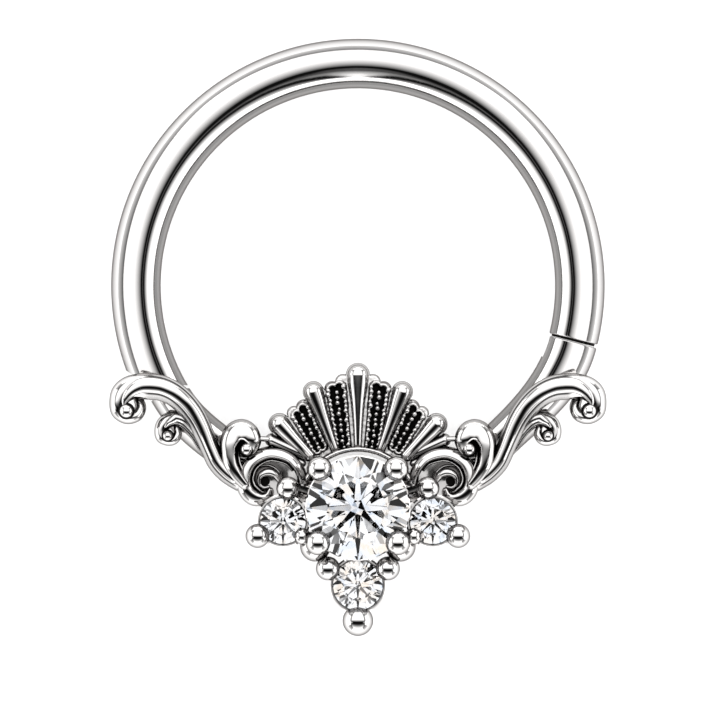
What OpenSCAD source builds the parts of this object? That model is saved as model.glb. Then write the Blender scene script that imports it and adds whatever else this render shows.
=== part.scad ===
// Hinged segment ring with a scroll and shell front, lying on its back.
// X runs across the front, Y up the hoop, and Z from the floor to the stones.
// The origin lies on the floor under the middle of the ring's outline.

/* [Hoop] */
// Diameter of the round wire
wire_d = 1.2; // [1.1:0.05:1.25]
// Clear diameter inside the hoop
inner_d = 9.5; // [9.4:0.1:9.7]
// Width of the wire behind the ornament
lower_wire_w = 0.96; // [0.9:0.02:1.1]
// How far the lower wire steps in towards the hoop's middle
lower_inset = 0.17; // [0.1:0.01:0.25]
// Angle of the open seam below the horizontal, in degrees
seam_angle = 14.3; // [12:0.1:16]
// Width of both seams
seam_gap = 0.07; // [0.05:0.01:0.1]

/* [Hinge] */
// Drop of the hinge seam below the hoop's middle
hinge_drop = 2.44; // [2.4:0.01:2.5]
// Diameter of the hinge pin
pin_d = 0.3; // [0.26:0.02:0.32]
// Diameter of the hinge eye and of the fork's cheeks
eye_d = 0.64; // [0.6:0.02:0.66]
// Thickness of the hinge eye and of the clasp tongue
tongue_t = 0.38; // [0.3:0.02:0.4]
// Play around the moving parts
play = 0.03; // [0.02:0.005:0.04]
// Opening swing of the hinged arc, in degrees
swing = 60; // [30:1:60]

/* [Ornament] */
// Height of the scroll crests' middle above the floor
crest_z = 1.62; // [1.6:0.01:1.7]
// Height of the back of the fan
fan_back_z = 0.75; // [0.7:0.01:0.85]
// Thickness of the fan's plate
fan_plate_t = 0.36; // [0.3:0.02:0.45]
// Reach of the fan's middle rib from the centre stone's middle
fan_reach = 3.25; // [3.1:0.05:3.3]

/* [Stones] */
// Diameter of the centre stone
centre_d = 2.5; // [2.4:0.05:2.52]
// Diameter of the stones on both sides
side_d = 1.18; // [1.1:0.02:1.2]
// Diameter of the stone at the tip
tip_d = 1.28; // [1.2:0.02:1.3]
// Gap between a stone and its setting
stone_gap = 0.02; // [0.01:0.005:0.03]
// Height of the centre stone's girdle
centre_z = 2.2; // [2.15:0.01:2.3]
// Height of the small stones' girdles
small_z = 1.75; // [1.7:0.01:1.85]

/* [Hidden] */
wire_r = wire_d / 2;
inner_r = inner_d / 2;
middle_r = inner_r + wire_r;
outer_r = inner_r + wire_d;
half_seam = asin(seam_gap / 2 / middle_r);
// How far cuts run past what they cut
cut_past = 0.1;
// Sides of round parts, as seen from above
ball_sides = 10;
pin_sides = 20;
bar_sides = 12;
// The taper of the lower wire, in degrees below the horizontal. At the seam it
// narrows and steps in together. At the hinge it starts narrow, and then steps in.
seam_taper = [16, 46];
hinge_step = [31, 56];
// The hinge pin stands outward of the wire's middle, on the hinge seam
pin_outward = 0.2;
pin_x = -sqrt(pow(middle_r, 2) - pow(hinge_drop, 2)) - pin_outward;
pin_y = -hinge_drop;
eye_r = eye_d / 2;
// Half the height of the fork and its pin
cheek_reach = 0.42;
// Each side of the hinge seam is cut back by half the swing and a little more
relief_angle = swing / 2 + 2;
relief_reach = 1.5;
// The clasp tongue, past the seam and across the wire
clasp_length = 0.5;
clasp_w = 0.4;
clasp_root = 0.3;
// Stone places, from the hoop's middle
centre_at = [0, -5.35];
side_at = [1.8, -5.67];
tip_at = [0, -7.21];
// The lowest ball, and the shift that centres the outline on the origin
tip_ball_r = 0.37;
tip_ball_at = [0, -8.06];
hoop_y = (tip_ball_r - tip_ball_at[1] - outer_r) / 2;
fan_top_z = fan_back_z + fan_plate_t;

// Swept bars. A row is [x, y, half width, middle height, half height].

// Large scroll from its foot to its crest
SCROLL = [
    [2.86, -4.76, 0.16, 1.14, 0.18],
    [3.32, -4.38, 0.21, 1.18, 0.22],
    [3.60, -3.82, 0.23, 1.26, 0.26],
    [3.80, -3.36, 0.26, 1.38, 0.28],
    [4.10, -2.90, 0.29, 1.54, 0.28],
    [4.50, -2.57, 0.30, crest_z - 0.02, 0.29],
    [5.01, -2.43, 0.32, crest_z, 0.30],
    [5.45, -2.46, 0.29, crest_z, 0.29]
];
// Small curl from its foot to its crest
CURL = [
    [3.68, -3.95, 0.12, 1.16, 0.18],
    [3.87, -3.60, 0.16, 1.20, 0.20],
    [4.19, -3.26, 0.18, 1.26, 0.22],
    [4.46, -3.21, 0.18, 1.26, 0.22]
];
// Hooked bead from its foot to its curled end
HOOK = [
    [2.81, -4.68, 0.14, 1.20, 0.24],
    [2.98, -4.46, 0.16, 1.26, 0.27],
    [3.07, -4.10, 0.19, 1.34, 0.30],
    [3.05, -3.76, 0.22, 1.42, 0.32],
    [2.81, -3.54, 0.24, 1.46, 0.33],
    [2.58, -3.72, 0.20, 1.44, 0.30],
    [2.56, -3.92, 0.15, 1.42, 0.26]
];
// Coils. A row is [middle x, middle y, first angle, last angle, first radius,
// last radius, first half width, last half width, middle height, half height].
SCROLL_COIL = [5.51, -2.90, 25, -215, 0.26, 0.25, 0.24, 0.11, crest_z, 0.27];
CURL_COIL = [4.54, -3.50, 45, -200, 0.21, 0.21, 0.17, 0.08, 1.26, 0.20];
VOLUTE_ARCH = [2.08, -4.72, 172, 0, 0.70, 0.67, 0.10, 0.13, 1.36, 0.24];
VOLUTE_TURN = [2.08, -4.72, -22, -82, 0.64, 0.34, 0.14, 0.08, 1.34, 0.22];
VOLUTE_EYE = [2.20, -4.72, 190, -120, 0.27, 0.18, 0.10, 0.07, 1.28, 0.28];
// Balls in the curled ends, and the swell behind each lower prong of the centre
// stone. A row is [x, y, height, radius].
SCROLL_BALL = [5.55, -3.00, crest_z, 0.22];
CURL_BALL = [4.57, -3.60, 1.28, 0.14];
HOOK_BALL = [2.66, -3.92, 1.48, 0.17];
SWELL = [1.02, -6.27, small_z, 0.37];
// Upright round ends of the bars that carry other parts. A row is [x, y, bottom
// height, radius, height].
CONNECTOR = [[2.52, -3.70, 1.20, 0.07, 0.25], [2.05, -3.74, 1.20, 0.07, 0.25]];
TIP_BAR = [[0, -6.00, 0.75, 0.25, 0.40], [0, -6.95, 0.95, 0.30, 0.30]];
SIDE_BAR = [[1.75, -5.20, 0.70, 0.25, 0.45], [1.80, -5.60, 0.90, 0.28, 0.30]];
// Fan ribs, from the middle rib out. A row is [angle from the fan's axis, reach
// as a share of the middle rib's, tip half width, foot reach, foot half width].
RIBS = [
    [0.0, 1.000, 0.29, 1.50, 0.10],
    [20.8, 0.935, 0.26, 1.50, 0.09],
    [42.0, 0.865, 0.25, 1.60, 0.09],
    [51.5, 0.830, 0.14, 1.62, 0.07]
];
// Scallops between the ribs, in the same columns
SCALLOPS = [
    [7.4, 0.955, 0.19, 1.44, 0.09],
    [13.4, 0.920, 0.19, 1.43, 0.09],
    [27.6, 0.868, 0.19, 1.43, 0.09],
    [34.0, 0.860, 0.19, 1.44, 0.09]
];
rib_rise = 0.42;
scallop_rise = 0.16;
// Width of the scallops' channels at the tip and the foot, and their depth
channel_tip_w = 0.20;
channel_foot_w = 0.10;
channel_depth = 0.10;
// Widest part of a rib, as a share of its height above the fan's back
rib_widest = 0.45;
// The fan's plate: half its spread in degrees, its foot, its reach at the sides
// as a share of the middle's, and how far it stays inside the ribs' tips
fan_half_angle = 52;
fan_foot = 1.36;
fan_side_share = 0.84;
fan_inset = 0.23;
fan_steps = 16;
// The bright rim between the fan and the centre stone
RIM_ARC = [centre_at[0], centre_at[1], 150, 30, 1.42, 1.42, 0.08, 0.08, 1.35, 0.32];
// Ball prongs. A row is [x, y, ball radius, ball height, stem foot x,
// stem foot y, stem foot height].
PRONGS = [
    [0.92, -4.40, 0.30, centre_z + 0.12, 0.70, -4.72, 1.05],
    [0.96, -6.18, 0.30, centre_z + 0.14, 0.62, -5.86, 1.05],
    [1.68, -4.87, 0.28, small_z + 0.12, 1.70, -5.15, 1.00],
    [2.41, -6.02, 0.29, small_z + 0.10, 2.12, -5.84, 1.00],
    [1.33, -6.03, 0.20, small_z + 0.12, 1.40, -5.85, 1.00],
    [0.72, -6.80, 0.29, small_z + 0.10, 0.42, -6.96, 1.05]
];
TIP_PRONG = [tip_ball_at[0], tip_ball_at[1], tip_ball_r, small_z - 0.1, 0, -7.6, 1.0];
// Radius of a prong's stem as a share of its ball's, and the height of its ends
stem_share = 0.55;
stem_end_h = 0.1;
// Gallery rings. A row is [bottom, top, inner radius at the bottom, inner radius
// at the top, wall].
CENTRE_GALLERIES = [
    [0.90, 1.30, 0.72, 0.86, 0.20],
    [1.80, centre_z - 0.12, centre_d / 2 - 0.28, centre_d / 2 - 0.12, 0.13]
];
SIDE_GALLERY = [0.85, small_z + 0.02, 0.20, side_d / 2 - 0.07, 0.13];
TIP_GALLERY = [0.85, small_z + 0.02, 0.22, tip_d / 2 - 0.07, 0.13];
// Crown and pavilion of a round brilliant, as shares of its diameter
table_share = 0.57;
crown_share = 0.155;
pavilion_share = 0.43;
girdle_share = 0.025;
star_share = 0.76;
lower_share = 0.16;

// Values between rows, on a curve that passes through every row
function between(p, q, r, s, t) =
    0.5 * (2 * q + (r - p) * t + (2 * p - 5 * q + 4 * r - s) * t * t
    + (3 * q - p - 3 * r + s) * t * t * t);

function smooth(rows, steps) = [
    for (i = [0 : len(rows) - 2], k = [0 : steps - 1])
        between(rows[max(i - 1, 0)], rows[i], rows[i + 1],
                rows[min(i + 2, len(rows) - 1)], k / steps),
    rows[len(rows) - 1]
];

function ease(low, high, value) =
    let (t = min(max((value - low) / (high - low), 0), 1))
    t * t * (3 - 2 * t);

function mix(first, last, t) = first + (last - first) * t;

function coil_rows(coil, steps) = [
    for (i = [0 : steps])
        let (t = i / steps, angle = mix(coil[2], coil[3], t), radius = mix(coil[4], coil[5], t))
        [coil[0] + radius * cos(angle), coil[1] + radius * sin(angle),
         mix(coil[6], coil[7], t), coil[8], coil[9]]
];

// One ring of a swept bar, square to the row's neighbours
function ring(before, row, after, sides) =
    let (run = [after[0] - before[0], after[1] - before[1]], across = [-run[1], run[0]] / norm(run))
    [for (j = [0 : sides - 1])
        let (turn = 360 * (j + 0.5) / sides, out = row[2] * cos(turn))
        [row[0] + across[0] * out, row[1] + across[1] * out, row[3] + row[4] * sin(turn)]];

module sweep(rows, sides = 10) {
    last = len(rows) - 1;
    points = [
        for (i = [0 : last])
            each ring(rows[max(i - 1, 0)], rows[i], rows[min(i + 1, last)], sides)
    ];
    faces = [
        for (i = [0 : last - 1], j = [0 : sides - 1])
            let (k = (j + 1) % sides, low = i * sides, high = low + sides)
            each [[low + j, high + j, low + k], [low + k, high + j, high + k]],
        [for (j = [0 : sides - 1]) j],
        [for (j = [sides - 1 : -1 : 0]) last * sides + j]
    ];
    polyhedron(points, faces, convexity = 8);
}

module both_sides() {
    children();
    mirror([1, 0, 0]) children();
}

module ball(row, turn = 0) {
    translate([row[0], row[1], row[2]]) rotate([0, 0, turn]) sphere(r = row[3], $fn = ball_sides);
}

// A bar between two upright round ends
module round_bar(ends) {
    hull()
        for (end = ends)
            translate([end[0], end[1], end[2]]) cylinder(r = end[3], h = end[4], $fn = bar_sides);
}

module on_pin(z, r, h) {
    translate([pin_x, pin_y, z]) cylinder(r = r, h = h, $fn = pin_sides);
}

// The outer side of the hinge seam, from the pin outward, on one side of the seam
module swing_relief(side) {
    translate([pin_x, pin_y, -cut_past])
        linear_extrude(wire_d + 2 * cut_past)
            polygon([[0, 0], [-relief_reach, 0], [-relief_reach, side * relief_reach * tan(relief_angle)]]);
}

// Everything above (side 1) or below (side -1) the hinge seam, at the left
module past_hinge_seam(side) {
    size = 2.5 * wire_d;
    low = side > 0 ? pin_y - seam_gap / 2 : pin_y - size + seam_gap / 2;
    translate([pin_x - wire_d, low, -cut_past]) cube([size, size, wire_d + 2 * cut_past]);
}

// A bar through the open seam, thin in height, from depth past the seam back to its root
module seam_bar(depth, inward, outward, thickness) {
    rotate([0, 0, -seam_angle])
        translate([middle_r - inward, -depth, wire_r - thickness / 2])
            cube([inward + outward, depth + clasp_root, thickness]);
}

module hinged_arc() {
    beyond_hinge = asin(hinge_drop / inner_r) + 4;
    span = 180 + beyond_hinge + seam_angle - half_seam;
    color("silver")
        translate([0, hoop_y, 0])
            difference() {
                union() {
                    difference() {
                        rotate([0, 0, half_seam - seam_angle])
                            translate([0, 0, wire_r])
                                rotate_extrude(angle = span, $fn = 96)
                                    translate([middle_r, 0]) circle(d = wire_d, $fn = 48);
                        past_hinge_seam(-1);
                        swing_relief(1);
                        on_pin(-cut_past, eye_r + play, wire_r - tongue_t / 2 + cut_past);
                        on_pin(wire_r + tongue_t / 2, eye_r + play, wire_r);
                    }
                    on_pin(wire_r - tongue_t / 2, eye_r, tongue_t);
                    seam_bar(clasp_length, clasp_w / 2, clasp_w / 2, tongue_t);
                }
                on_pin(-cut_past, pin_d / 2 + play / 2, wire_d + 2 * cut_past);
            }
}

module hinge_pin() {
    color("gainsboro")
        translate([0, hoop_y, 0])
            on_pin(wire_r - cheek_reach, pin_d / 2, 2 * cheek_reach);
}

function lower_row(angle) =
    let (narrowing = angle < -90 ? 1 : ease(seam_taper[0], seam_taper[1], -angle),
         step = angle < -90 ? ease(hinge_step[0], hinge_step[1], 180 + angle) : narrowing,
         half_w = mix(wire_r, lower_wire_w / 2, narrowing),
         radius = inner_r - lower_inset * step + half_w)
    [radius * cos(angle), radius * sin(angle), half_w, wire_r, wire_r];

module lower_wire(from, to, steps) {
    sweep([for (i = [0 : steps]) lower_row(mix(from, to, i / steps))], 14);
}

module lower_arc() {
    difference() {
        union() {
            difference() {
                lower_wire(6 - seam_angle, atan2(pin_y, pin_x) - 8, 19);
                rotate([0, 0, -seam_angle])
                    translate([0, -seam_gap / 2, -cut_past])
                        cube([2 * outer_r, wire_d, wire_d + 2 * cut_past]);
                past_hinge_seam(1);
                swing_relief(-1);
            }
            // The fork's cheeks
            on_pin(wire_r - cheek_reach, eye_r, 2 * cheek_reach);
        }
        on_pin(wire_r - tongue_t / 2 - play, eye_r + play, tongue_t + 2 * play);
        on_pin(-cut_past, pin_d / 2 + play / 2, wire_d + 2 * cut_past);
        // The slot for the clasp, open to the inside of the hoop
        seam_bar(clasp_length + 2 * play, wire_d, clasp_w / 2 + 2 * play, tongue_t + 2 * play);
    }
}

module large_scroll() {
    sweep(concat(smooth(SCROLL, 2), coil_rows(SCROLL_COIL, 10)), 8);
    ball(SCROLL_BALL);
}

module small_curl() {
    sweep(concat(smooth(CURL, 2), coil_rows(CURL_COIL, 7)), 7);
    ball(CURL_BALL);
}

module hooked_bead() {
    sweep(smooth(HOOK, 2), 8);
    ball(HOOK_BALL);
}

module volute() {
    sweep(concat(coil_rows(VOLUTE_ARCH, 8), coil_rows(VOLUTE_TURN, 4)), 8);
    sweep(coil_rows(VOLUTE_EYE, 10), 6);
}

// A flute that swells from its foot to a round tip, along its own axis
module flute(row, rise, sides) {
    reach = row[1] * fan_reach;
    tip_w = row[2];
    run = reach - tip_w - row[3];
    top = fan_top_z + rise;
    low = fan_back_z + cut_past;
    // Columns: share of the run, share of the swelling, share of the height
    profile = [[0.0, 0.0, 0.6], [0.5, 0.35, 0.8], [0.92, 0.95, 1.0]];
    rows = concat(
        [for (p = profile) [0, row[3] + run * p[0], mix(row[4], tip_w, p[1]), p[2]]],
        [for (turn = [25, 60]) [0, row[3] + run + tip_w * sin(turn), tip_w * cos(turn), 1.0]],
        [[0, reach, tip_w * 0.15, 0.9]]
    );
    rotate([0, 0, -row[0]])
        sweep([for (r = rows) let (height = mix(low, top, r[3]))
            [r[0], r[1], r[2], mix(low, height, rib_widest), (height - low) * (1 - rib_widest)]], sides);
}

// A flat scallop with a round tip and a sunken channel
module scallop(row) {
    tip = row[1] * fan_reach - row[2];
    foot = row[3];
    // Its back stays a little above the plate's
    back = fan_back_z + 0.05;
    floor_z = fan_top_z - channel_depth;
    above = 0.5;
    rotate([0, 0, -row[0]])
        difference() {
            round_bar([[0, tip, back, row[2], fan_plate_t + scallop_rise - 0.05],
                       [0, foot, back, row[4], fan_plate_t]]);
            round_bar([[0, tip - 0.05, floor_z, channel_tip_w / 2, above],
                       [0, foot + 0.2, floor_z, channel_foot_w / 2, above]]);
        }
}

module fan() {
    angles = [for (i = [0 : fan_steps]) mix(-fan_half_angle, fan_half_angle, i / fan_steps)];
    edge = [for (a = angles)
        fan_reach * mix(1, fan_side_share, ease(0, fan_half_angle, abs(a))) - fan_inset];
    translate([centre_at[0], centre_at[1], 0]) {
        translate([0, 0, fan_back_z])
            linear_extrude(fan_plate_t)
                polygon(concat(
                    [for (i = [0 : fan_steps]) edge[i] * [sin(angles[i]), cos(angles[i])]],
                    [for (i = [fan_steps : -1 : 0]) fan_foot * [sin(angles[i]), cos(angles[i])]]));
        flute(RIBS[0], rib_rise, 8);
        both_sides() {
            for (i = [1 : len(RIBS) - 1]) flute(RIBS[i], rib_rise, 8);
            for (row = SCALLOPS) scallop(row);
        }
    }
    sweep(coil_rows(RIM_ARC, 14), 6);
}

module gallery(at, row) {
    translate([at[0], at[1], 0])
        rotate_extrude($fn = 18)
            polygon([[row[2], row[0]], [row[2] + row[4], row[0]], [row[3] + row[4], row[1]],
                     [row[3], row[1]]]);
}

module settings() {
    for (row = CENTRE_GALLERIES) gallery(centre_at, row);
    gallery(tip_at, TIP_GALLERY);
    round_bar(TIP_BAR);
    both_sides() {
        gallery(side_at, SIDE_GALLERY);
        round_bar(SIDE_BAR);
    }
}

module prong(row) {
    stem_r = stem_share * row[2];
    hull() {
        translate([row[0], row[1], row[3]]) cylinder(r = stem_r, h = stem_end_h, center = true, $fn = 6);
        translate([row[4], row[5], row[6]]) cylinder(r = stem_r, h = stem_end_h, $fn = 6);
    }
    // Half a side's turn keeps the ball's edges off the stem's
    ball([row[0], row[1], row[3], row[2]], 180 / ball_sides);
}

module prongs() {
    both_sides() {
        for (row = PRONGS) prong(row);
        ball(SWELL);
    }
    prong(TIP_PRONG);
}

// Evenly spaced corners of a ring, the first at the given angle
function corners(r, count, first, z) = [
    for (i = [0 : count - 1])
        let (a = first + 360 * i / count)
        [r * cos(a), r * sin(a), z]
];

// A round brilliant with its girdle at height zero
module brilliant(d) {
    half_turn = 22.5;
    r = d / 2;
    table_r = table_share * r;
    table_z = crown_share * d;
    half_girdle = girdle_share * d / 2;
    culet_z = -pavilion_share * d;
    star_r = mix(table_r, r, 1 - star_share) / cos(half_turn);
    lower_r = lower_share * r / cos(half_turn);
    crown_slope = (table_z - half_girdle) / (r - table_r);
    star_z = table_z - (star_r * cos(half_turn) - table_r) * crown_slope;
    lower_z = mix(culet_z, -half_girdle, lower_share);
    table_ring = corners(table_r, 8, 0, table_z);
    star_ring = corners(star_r, 8, half_turn, star_z);
    top_ring = corners(r, 16, 0, half_girdle);
    low_ring = corners(r, 16, 0, -half_girdle);
    main_ring = corners(lower_r, 8, half_turn, lower_z);
    points = concat(table_ring, star_ring, top_ring, low_ring, main_ring, [[0, 0, culet_z]]);
    star = 8;
    top = 16;
    low = 32;
    main = 48;
    culet = 56;
    faces = [
        [for (i = [7 : -1 : 0]) i],
        for (i = [0 : 7])
            let (next = (i + 1) % 8, before = (i + 7) % 8, g = 2 * i, h = 2 * i + 1, m = (2 * i + 2) % 16)
            each [
                [i, next, star + i],
                [i, star + i, top + g],
                [i, top + g, star + before],
                [star + i, top + h, top + g],
                [star + i, top + m, top + h],
                [top + g, top + h, low + h],
                [top + g, low + h, low + g],
                [top + h, top + m, low + m],
                [top + h, low + m, low + h],
                [main + i, low + g, low + h],
                [main + i, low + h, low + m],
                [culet, low + g, main + i],
                [culet, main + before, low + g]
            ]
    ];
    polyhedron(points, faces, convexity = 2);
}

module stone_at(at, z, d) {
    translate([at[0], at[1], z]) brilliant(d);
}

// The room that a setting leaves for its stone
module stone_room(at, z, d) {
    rim = d / 2 + stone_gap;
    half_girdle = girdle_share * d / 2 + stone_gap;
    top = crown_share * d + stone_gap;
    // A small turn keeps its edges off the setting's
    off_edges = 3;
    translate([at[0], at[1], z])
        rotate([0, 0, off_edges])
            rotate_extrude($fn = 16)
                polygon([[0, -pavilion_share * d - 2 * stone_gap], [rim, -half_girdle], [rim, half_girdle],
                         [table_share * d / 2 + 4 * stone_gap, top], [0, top]]);
}

module front_casting() {
    color("silver")
        translate([0, hoop_y, 0])
            difference() {
                union() {
                    lower_arc();
                    both_sides() {
                        large_scroll();
                        small_curl();
                        hooked_bead();
                        volute();
                        // The short bar between the hooked bead and the fan
                        round_bar(CONNECTOR);
                    }
                    fan();
                    settings();
                    prongs();
                }
                stone_room(centre_at, centre_z, centre_d);
                both_sides() stone_room(side_at, small_z, side_d);
                stone_room(tip_at, small_z, tip_d);
            }
}

module centre_stone() {
    color("white") translate([0, hoop_y, 0]) stone_at(centre_at, centre_z, centre_d);
}

module left_stone() {
    color("white") translate([0, hoop_y, 0]) stone_at([-side_at[0], side_at[1]], small_z, side_d);
}

module right_stone() {
    color("white") translate([0, hoop_y, 0]) stone_at(side_at, small_z, side_d);
}

module tip_stone() {
    color("white") translate([0, hoop_y, 0]) stone_at(tip_at, small_z, tip_d);
}

hinged_arc();
hinge_pin();
front_casting();
centre_stone();
left_stone();
right_stone();
tip_stone();
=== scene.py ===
"""Hinged seam ring: a polished steel hoop with a scroll and shell front, set with clear stones.

Shapes are worked out in millimetres from the hoop's middle, X across the front, Y up the hoop
and Z out of the floor. A shell becomes an object in metres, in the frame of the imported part.
"""

import logging
import math
from collections.abc import Iterable, Sequence
from dataclasses import dataclass, field, replace
from enum import Enum

import bmesh
import bpy
import numpy as np
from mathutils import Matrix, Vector


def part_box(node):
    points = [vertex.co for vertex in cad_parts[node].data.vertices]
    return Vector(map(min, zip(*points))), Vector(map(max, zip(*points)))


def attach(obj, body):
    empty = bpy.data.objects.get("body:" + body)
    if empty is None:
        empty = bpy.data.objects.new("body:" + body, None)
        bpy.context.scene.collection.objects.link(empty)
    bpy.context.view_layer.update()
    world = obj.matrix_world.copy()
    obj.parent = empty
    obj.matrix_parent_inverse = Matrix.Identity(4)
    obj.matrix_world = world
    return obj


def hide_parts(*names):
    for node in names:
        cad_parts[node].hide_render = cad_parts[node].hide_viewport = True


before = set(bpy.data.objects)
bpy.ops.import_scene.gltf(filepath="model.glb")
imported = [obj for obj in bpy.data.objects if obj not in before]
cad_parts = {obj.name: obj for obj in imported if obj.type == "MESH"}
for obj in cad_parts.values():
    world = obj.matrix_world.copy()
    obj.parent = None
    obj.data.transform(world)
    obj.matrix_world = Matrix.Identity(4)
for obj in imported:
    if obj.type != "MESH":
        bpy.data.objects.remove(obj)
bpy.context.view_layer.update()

MM = 0.001
LOG = logging.getLogger("seam_ring")
Row = Sequence[float]


class Body(Enum):
    """The two bodies that the hinge joins."""

    FRONT = "front"
    ARC = "arc"


class Slot(Enum):
    """The record's finishes that the pieces here take."""

    WIRE = "wire"
    CASTING = "casting"
    STONE = "stone"


class Lit(Enum):
    """What a softbox is flagged to light, as a jeweller's photographer masks each lamp."""

    HOOP = "hoop_set"
    FRONT = "front_set"
    STONES = "stone_set"
    FLOOR = "floor_set"


def linear(hex_colour: str) -> tuple[float, float, float, float]:
    """Turns an sRGB hex colour to linear light.

    Args:
        hex_colour: six hex digits after a hash sign.

    Returns:
        Red, green, blue and an alpha of one.
    """
    shares = [int(hex_colour[i : i + 2], 16) / 255 for i in (1, 3, 5)]
    red, green, blue = [s / 12.92 if s <= 0.04045 else ((s + 0.055) / 1.055) ** 2.4 for s in shares]
    return red, green, blue, 1.0


def feed(node: bpy.types.Node, inputs: dict) -> bpy.types.Node:
    """Sets and links a node's inputs.

    Args:
        node: the node.
        inputs: what each input holds: a value, a socket, or the node whose first output in use
            feeds it.

    Returns:
        The same node.
    """
    for key, value in inputs.items():
        if isinstance(value, bpy.types.Node):
            value = next(socket for socket in value.outputs if socket.enabled)
        if isinstance(value, bpy.types.NodeSocket):
            node.id_data.links.new(value, node.inputs[key])
        else:
            node.inputs[key].default_value = value
    return node


def add_node(
    tree: bpy.types.NodeTree, kind: str, inputs: dict | None = None, **settings: object
) -> bpy.types.Node:
    """Adds a node with its settings, values and links.

    Args:
        tree: the node tree that it goes in.
        kind: the node's type, without the words that all of them start with.
        inputs: what its inputs hold, as feed() takes them.
        settings: the node's own properties.

    Returns:
        The new node.
    """
    made = tree.nodes.new("ShaderNode" + kind)
    for name, value in settings.items():
        setattr(made, name, value)
    return feed(made, inputs or {})


def start_material(name: str) -> tuple[bpy.types.Material, bpy.types.Node, bpy.types.NodeSocket]:
    """Starts a material.

    Args:
        name: its name.

    Returns:
        The material, its shader, and the socket that gives each point's place.
    """
    made = bpy.data.materials.new(name)
    made.use_nodes = True
    place = add_node(made.node_tree, "TexCoord").outputs["Object"]
    return made, made.node_tree.nodes["Principled BSDF"], place


def add_object(name: str, data: bpy.types.ID) -> bpy.types.Object:
    """Puts a mesh, lamp or camera into the scene.

    Args:
        name: the object's name.
        data: what it holds.

    Returns:
        The new object.
    """
    made = bpy.data.objects.new(name, data)
    bpy.context.scene.collection.objects.link(made)
    return made


def smooth_rows(rows: Iterable[Row], steps: int) -> np.ndarray:
    """Fills in values between rows, on a curve that passes through every row.

    Args:
        rows: the table's rows.
        steps: how many values each gap gets.

    Returns:
        The longer table.
    """
    table = np.asarray(list(rows), float)
    padded = np.vstack([table[:1], table, table[-1:]])
    t = np.linspace(0, 1, steps, endpoint=False)[:, None]
    parts = [
        0.5 * (2 * q + (r - p) * t + (2 * p - 5 * q + 4 * r - s) * t**2 + (3 * q - p - 3 * r + s) * t**3)
        for p, q, r, s in zip(padded, padded[1:], padded[2:], padded[3:])
    ]
    return np.vstack([*parts, table[-1:]])


def across(rows: np.ndarray) -> np.ndarray:
    """Finds which way is left along a path.

    Args:
        rows: its rows, which start with x and y.

    Returns:
        The unit vector to the left of the run, for each row.
    """
    run = np.gradient(rows[:, :2], axis=0)
    run /= np.linalg.norm(run, axis=1)[:, None]
    return np.stack([-run[:, 1], run[:, 0]], axis=1)


@dataclass(frozen=True)
class Rider:
    """A bar that runs beside or on another one, in shares of that one's half width and height."""

    # How far it lies to the left, and its half width
    side: float
    width: float
    # How far its middle lies higher, and its half height
    lift: float
    height: float
    # The rows of the other bar's table between which it runs
    first: float = 0.0
    last: float = math.inf

    def on(self, rows: np.ndarray, steps: int) -> np.ndarray:
        """Works out the bar's rows.

        Args:
            rows: the carrying bar's rows of x, y, half width, middle height and half height.
            steps: how many of them there are for each row of its table.

        Returns:
            The new bar's rows.
        """
        made = rows.copy()
        made[:, :2] += across(rows) * rows[:, 2:3] * self.side
        made[:, 2] *= self.width
        made[:, 3] += rows[:, 4] * self.lift
        made[:, 4] *= self.height
        return made[round(self.first * steps) : round(min(self.last * steps, len(rows)))]


def round_section(sides: int, power: float = 2.0, crest: float = 0.0) -> np.ndarray:
    """Outline of a bar.

    Args:
        sides: number of its points.
        power: 2 for an ellipse, and more for a squarer one.
        crest: where its crest lies, in shares of the half width to the left of travel.

    Returns:
        An array of offset and height pairs, both from -1 to 1.
    """
    turn = np.linspace(0, 2 * math.pi, sides, endpoint=False)
    c, s = np.cos(turn), np.sin(turn)
    side = np.sign(c) * abs(c) ** (2 / power)
    side = np.where(s > 0, crest + side * np.where(side > 0, 1 - crest, 1 + crest), side)
    return np.stack([side, np.sign(s) * abs(s) ** (2 / power)], axis=1)


def coil(middle: Row, angles: Row, radii: Row, widths: Row, height: Row, steps: int) -> np.ndarray:
    """Rows of a bar that winds round a middle.

    Args:
        middle: x and y of the middle.
        angles: first and last angle, in degrees.
        radii: first and last radius.
        widths: first and last half width.
        height: middle height and half height.
        steps: how many rows there are.

    Returns:
        The bar's rows.
    """
    t = np.linspace(0, 1, steps)
    angle = np.radians(angles[0] + (angles[1] - angles[0]) * t)
    radius = radii[0] + (radii[1] - radii[0]) * t
    width = widths[0] + (widths[1] - widths[0]) * t
    x, y = middle[0] + radius * np.cos(angle), middle[1] + radius * np.sin(angle)
    return np.stack([x, y, width, np.full(steps, height[0]), np.full(steps, height[1])], axis=1)


def ease(low: float, high: float, value: np.ndarray | float) -> np.ndarray | float:
    """Runs smoothly from zero at low to one at high."""
    t = np.clip((value - low) / (high - low), 0, 1)
    return t * t * (3 - 2 * t)


# The turns, in degrees, at which a bar's rounded end has its rings
DOME_TURNS = (18, 36, 54, 70, 83)


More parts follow.
